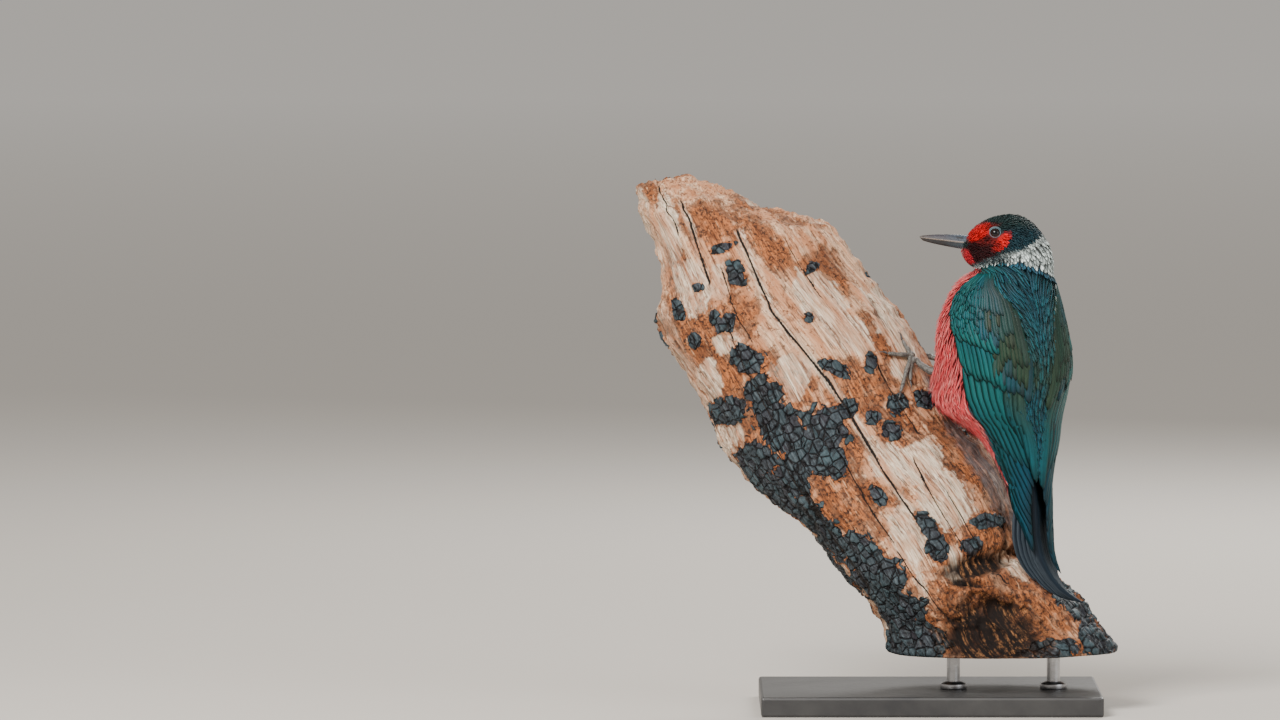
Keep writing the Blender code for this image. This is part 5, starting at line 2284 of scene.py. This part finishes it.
        pale = shader.times(shader.attribute("pale"), shader.steps(broad, (0.42, 1.0), (0.62, 0.30)))
        hairs = shader.times(shader.steps(looks["hairs"], (0.60, 0.0), (0.66, 1.0)), 0.75)
        silver = shader.times(shader.attribute("silver"), shader.steps(broad, (0.35, 1.0), (0.62, 0.3)))
        colour = cream
        for share, over in ((scorch, rust), (pale, white), (hairs, (0.085, 0.038, 0.024)), (silver, lead)):
            colour = shader.mix(share, colour, over)
        return colour

    def char_colour(self, shader: Shader, fine: Socket, plate: Socket, checks: Socket) -> Socket:
        """Colour the char.

        Args:
            shader: The wood's material.
            fine: Its finest noise.
            plate: A random colour for each small block.
            checks: Distance from the small blocks' joints.

        Returns:
            Blue-black blocks with ashy faces and black joints.
        """
        cold = shader.mix(shader.attribute("label"), (0.011, 0.018, 0.023), (0.044, 0.076, 0.090))
        ash = shader.coats(cold, (plate, (0.35, 0.0), (0.75, 0.8), (0.022, 0.017, 0.024)),
                           (fine, (0.47, 0.0), (0.62, 0.8), (0.090, 0.118, 0.135)))
        ash = shader.mix(shader.steps(checks, (0.02, 0.0), (0.07, 1.0)), (0.003, 0.002, 0.003), ash)
        return shader.mix(shader.attribute("block"), (0.004, 0.003, 0.004), ash)

    def litter_colour(self, shader: Shader, looks: dict[str, Socket]) -> Socket:
        """Colour the rotten strands in the hollow.

        Args:
            shader: The wood's material.
            looks: Its noises by name.

        Returns:
            Dull straw over black; the black is painted shade deep in the hollow.
        """
        straw = (looks["soft"], (0.42, 0.0), (0.56, 1.0), (0.420, 0.190, 0.075))
        strand = shader.times(shader.steps(looks["fine"], (0.40, 0.2), (0.60, 1.0)),
                              shader.steps(looks["dashes"], (0.505, 0.0), (0.575, 1.0)))
        # Painted shade: the hollow's ground and its blotches are near black under the straw strands.
        litter = shader.mix(strand, (0.007, 0.004, 0.003), shader.coats((0.055, 0.020, 0.009), straw))
        return shader.coats(litter, (looks["spots"], (0.47, 0.0), (0.55, 0.9), (0.008, 0.004, 0.003)))

    def dress(self, wood: Piece) -> None:
        """Give the wood its silvered, rusty and charred surfaces.

        Args:
            wood: The snag.
        """
        shader = Shader("weathered_wood", Specular_IOR_Level=0.25)
        grain, place = shader.attribute("grain", "Vector"), shader.place()
        looks = {
            "fine": shader.noise(grain, 0.9, 6.0, 0.72), "broad": shader.noise(grain, 0.16, 5.0, 0.65),
            "spots": shader.noise(place, 0.45, 6.0, 0.72), "soft": shader.noise(place, 0.09, 5.0, 0.6),
            "dashes": shader.noise(grain, 0.42, 5.0, 0.75), "hairs": shader.noise(grain, 0.62, 3.0, 0.55),
            "blotches": shader.noise(grain, 0.26, 6.0, 0.72),
        }
        fine, spots = looks["fine"], looks["spots"]
        cells = {"Vector": shader.attribute("blocks", "Vector"), "Scale": 1.35, "Randomness": 0.70}
        checks = shader.node("TexVoronoi", cells, feature="DISTANCE_TO_EDGE").outputs["Distance"]
        plate = shader.node("TexVoronoi", cells).outputs["Color"]
        burn = shader.math("SUBTRACT", shader.attribute("burn"), shader.times(plate, 0.75))
        burn = shader.math("ADD", burn, shader.times(spots, 0.35))
        charred = shader.steps(burn, (0.30, 0.0), (0.34, 1.0))
        colour = self.wood_colour(shader, looks)
        colour = shader.mix(charred, colour, self.char_colour(shader, fine, plate, checks))
        colour = shader.mix(shader.attribute("hollow"), colour, self.litter_colour(shader, looks))
        fray = shader.times(shader.math("ADD", fine, looks["dashes"]), 0.35)
        side = shader.math("MULTIPLY_ADD", shader.math("ABSOLUTE", shader.attribute("crack_side")), 0.5, fray)
        split = shader.times(shader.steps(side, (0.62, 1.0), (0.84, 0.0)), shader.attribute("crack_near"))
        dark = shader.math("MAXIMUM", shader.attribute("crack"), split)
        colour = shader.mix(dark, colour, (0.010, 0.007, 0.006))
        rough = shader.mix(charred, (0.82,) * 3, (0.44,) * 3)
        height = shader.math("ADD", fine, shader.times(spots, 0.5))
        joint = shader.times(shader.steps(checks, (0.01, 0.0), (0.12, 1.0)), charred)
        normal = shader.bump(joint, 0.0009, 1.0, shader.bump(height, 0.0010, 0.9))
        shader.wear(Base_Color=colour, Roughness=rough, Normal=normal)
        finish_piece(wood, shader.material, "snag_wood", "snag")


@dataclass
class Stand:
    """Painted base and two steel rods, with small collars where the rods enter the base."""

    rod_x: tuple = (14.0, 74.0)
    rod_y: float = -12.0
    base_top: float = 12.0
    collar_radius: float = 8.0
    collar_height: float = 3.2
    slope: tuple = (3.2, 1.4)
    bevel: float = 0.5

    def collar(self, x: float) -> Piece:
        """Shape one rod's collar, with a sloping top and a small bevel.

        Args:
            x: The rod's place, in millimetres.

        Returns:
            The collar.
        """
        middle = Vector((x, self.rod_y, self.base_top + self.collar_height / 2)) * MM
        bpy.ops.mesh.primitive_cylinder_add(vertices=64, radius=self.collar_radius * MM,
                                            depth=self.collar_height * MM, location=middle)
        collar = bpy.context.object
        bpy.ops.object.transform_apply(location=True, rotation=False, scale=False)
        bpy.ops.object.mode_set(mode="EDIT")
        bpy.ops.mesh.select_mode(type="FACE")
        bpy.ops.mesh.select_all(action="DESELECT")
        bpy.ops.object.mode_set(mode="OBJECT")
        for face in collar.data.polygons:
            face.select = face.normal.z > 0.9
        bpy.ops.object.mode_set(mode="EDIT")
        bpy.ops.mesh.inset(thickness=self.slope[0] * MM)
        bpy.ops.transform.translate(value=(0.0, 0.0, self.slope[1] * MM))
        bpy.ops.object.mode_set(mode="OBJECT")
        edge = collar.modifiers.new("edge", "BEVEL")
        edge.width, edge.segments, edge.limit_method = self.bevel * MM, 3, "ANGLE"
        edge.angle_limit = math.radians(20)
        apply_all(collar)
        return collar

    def build(self) -> Piece:
        """Shape both rods' collars.

        Returns:
            One piece.
        """
        thing = joined("stand_collars", [self.collar(x) for x in self.rod_x])
        bpy.ops.object.shade_smooth_by_angle(angle=math.radians(30))
        return thing

    def steel(self) -> Material:
        """Build brushed steel, with fine rings round the rods.

        Returns:
            The material.
        """
        shader = Shader("brushed_steel", Metallic=1.0)
        rings = shader.noise(shader.place((0.4, 0.4, 9.0)), 1.0, 4.0, 0.6)
        stain = shader.noise(shader.place(), 0.12, 4.0, 0.6)
        colour = shader.coats((0.40, 0.40, 0.41), (stain, (0.3, 0.0), (0.7, 1.0), (0.56, 0.56, 0.57)))
        shader.wear(Base_Color=colour, Roughness=shader.steps(rings, (0.25, 0.22), (0.75, 0.42)),
                    Normal=shader.bump(rings, 0.00006, 0.4))
        return shader.material

    def paint(self) -> Material:
        """Build the base's dark satin paint, with faint dust and orange-peel.

        Returns:
            The material.
        """
        shader = Shader("satin_paint", Specular_IOR_Level=0.45, Coat_Weight=0.1, Coat_Roughness=0.25)
        peel = shader.noise(shader.place(), 1.6, 2.0, 0.5)
        dust = shader.noise(shader.place(), 0.035, 6.0, 0.65)
        colour = shader.coats((0.030, 0.030, 0.032), (dust, (0.35, 0.0), (0.75, 1.0), (0.052, 0.051, 0.050)))
        shader.wear(Base_Color=colour, Roughness=shader.steps(dust, (0.3, 0.34), (0.7, 0.50)),
                    Normal=shader.bump(peel, 0.00005, 0.35))
        return shader.material

    def dress(self, collars: Piece) -> None:
        """Dress the base, rods and collars.

        Args:
            collars: The collars.
        """
        steel, paint = self.steel(), self.paint()
        for node, material in (("stand_base", paint), ("stand_rod_left", steel), ("stand_rod_right", steel)):
            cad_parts[node].data.materials.clear()
            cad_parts[node].data.materials.append(material)
        finish_piece(collars, steel, "stand_steel")


# ---- Studio ----
@dataclass
class Studio:
    """Pale floor and backdrop colour, soft lights and the camera."""

    aim: tuple = (-0.174, 0.0, 0.2088)
    lit: tuple = (0.0, 0.0, 0.18)
    glow: float = 0.85
    floor_size: float = 90.0
    fade: float = 10.0
    lens: float = 300.0
    distance: float = 6.4
    rise: float = math.radians(3.5)
    backdrop: tuple = (0.56, 0.53, 0.49)

    def floor(self) -> None:
        """Lay the pale floor, wide enough to reach the horizon of every view."""
        bpy.ops.object.select_all(action="DESELECT")
        bpy.ops.mesh.primitive_plane_add(size=self.floor_size, location=(0.0, 0.0, 0.0))
        floor = bpy.context.object
        floor.name = "floor"
        shader = Shader("pale_floor", Roughness=0.9, Specular_IOR_Level=0.0)
        coords = shader.node("TexCoord").outputs["Object"]
        reach = shader.node("VectorMath", {0: coords}, operation="LENGTH").outputs["Value"]
        far = shader.math("DIVIDE", reach, self.fade)
        shader.wear(Base_Color=shader.coats(self.backdrop, (far, (0.1, 0.0), (1.0, 1.0), (0.98, 0.98, 0.98))))
        floor.data.materials.append(shader.material)

    def light(self, name: str, place: tuple, size: float, power: float, colour: tuple) -> None:
        """Hang one soft square light that faces the bird.

        Args:
            name: The light's name.
            place: Where it hangs, in metres.
            size: Its width in metres.
            power: Its power in watts.
            colour: Its colour, in linear light.
        """
        data = bpy.data.lights.new(name, "AREA")
        data.size, data.energy, data.color = size, power, colour
        lamp = add_object(name, data)
        lamp.location = place
        lamp.rotation_mode = "QUATERNION"
        lamp.rotation_quaternion = (Vector(self.lit) - Vector(place)).to_track_quat("-Z", "Y")

    def lights(self) -> None:
        """Hang the lights and set the backdrop's even glow."""
        self.light("key", (-0.9, -1.6, 1.6), 0.9, 85.0, (1.0, 0.97, 0.93))
        self.light("fill", (1.7, -1.3, 0.9), 1.4, 16.0, (0.93, 0.96, 1.0))
        self.light("rim", (0.6, 1.5, 1.3), 0.8, 30.0, (1.0, 0.98, 0.95))
        world = bpy.data.worlds.new("studio")
        world.use_nodes = True
        glow = world.node_tree.nodes["Background"]
        glow.inputs["Color"].default_value = (*self.backdrop, 1.0)
        glow.inputs["Strength"].default_value = self.glow
        bpy.context.scene.world = world

    def camera(self) -> None:
        """Place the long-lensed camera."""
        data = bpy.data.cameras.new("camera")
        data.lens, data.sensor_width = self.lens, 36.0
        data.clip_start, data.clip_end = 0.1, 200.0
        camera = add_object("camera", data)
        way = Vector((0.0, -math.cos(self.rise), math.sin(self.rise)))
        camera.location = Vector(self.aim) + way * self.distance
        camera.rotation_euler = (math.pi / 2 - self.rise, 0.0, 0.0)
        bpy.context.scene.camera = camera


def main() -> None:
    """Build and dress every piece."""
    logging.basicConfig(level=logging.INFO, format="%(name)s: %(message)s")
    form = BirdForm()
    marks = Markings(form)
    skin = Skin(form, marks)
    skin.dress(skin.build())
    bill = Bill()
    bill.dress(bill.half("bill_upper_horn", True), "bill_upper", True)
    bill.dress(bill.half("bill_lower_horn", False), "bill_lower", False)
    for side in (1, -1):
        eye = Eye(form, side)
        eye.dress(eye.ball(), eye.lids())
        wing = Wing(marks, side)
        wing.dress(wing.build())
        foot = Foot(side)
        foot.dress(*foot.build())
    for piece, finish, slot in BodyCoat(form, marks).build():
        finish_piece(piece, finish.material(), slot)
    tail = Tail(form)
    tail.dress(tail.build())
    snag = Snag()
    snag.dress(snag.build())
    stand = Stand()
    stand.dress(stand.build())
    studio = Studio()
    studio.floor()
    studio.lights()
    studio.camera()


if __name__ == "__main__":
    main()
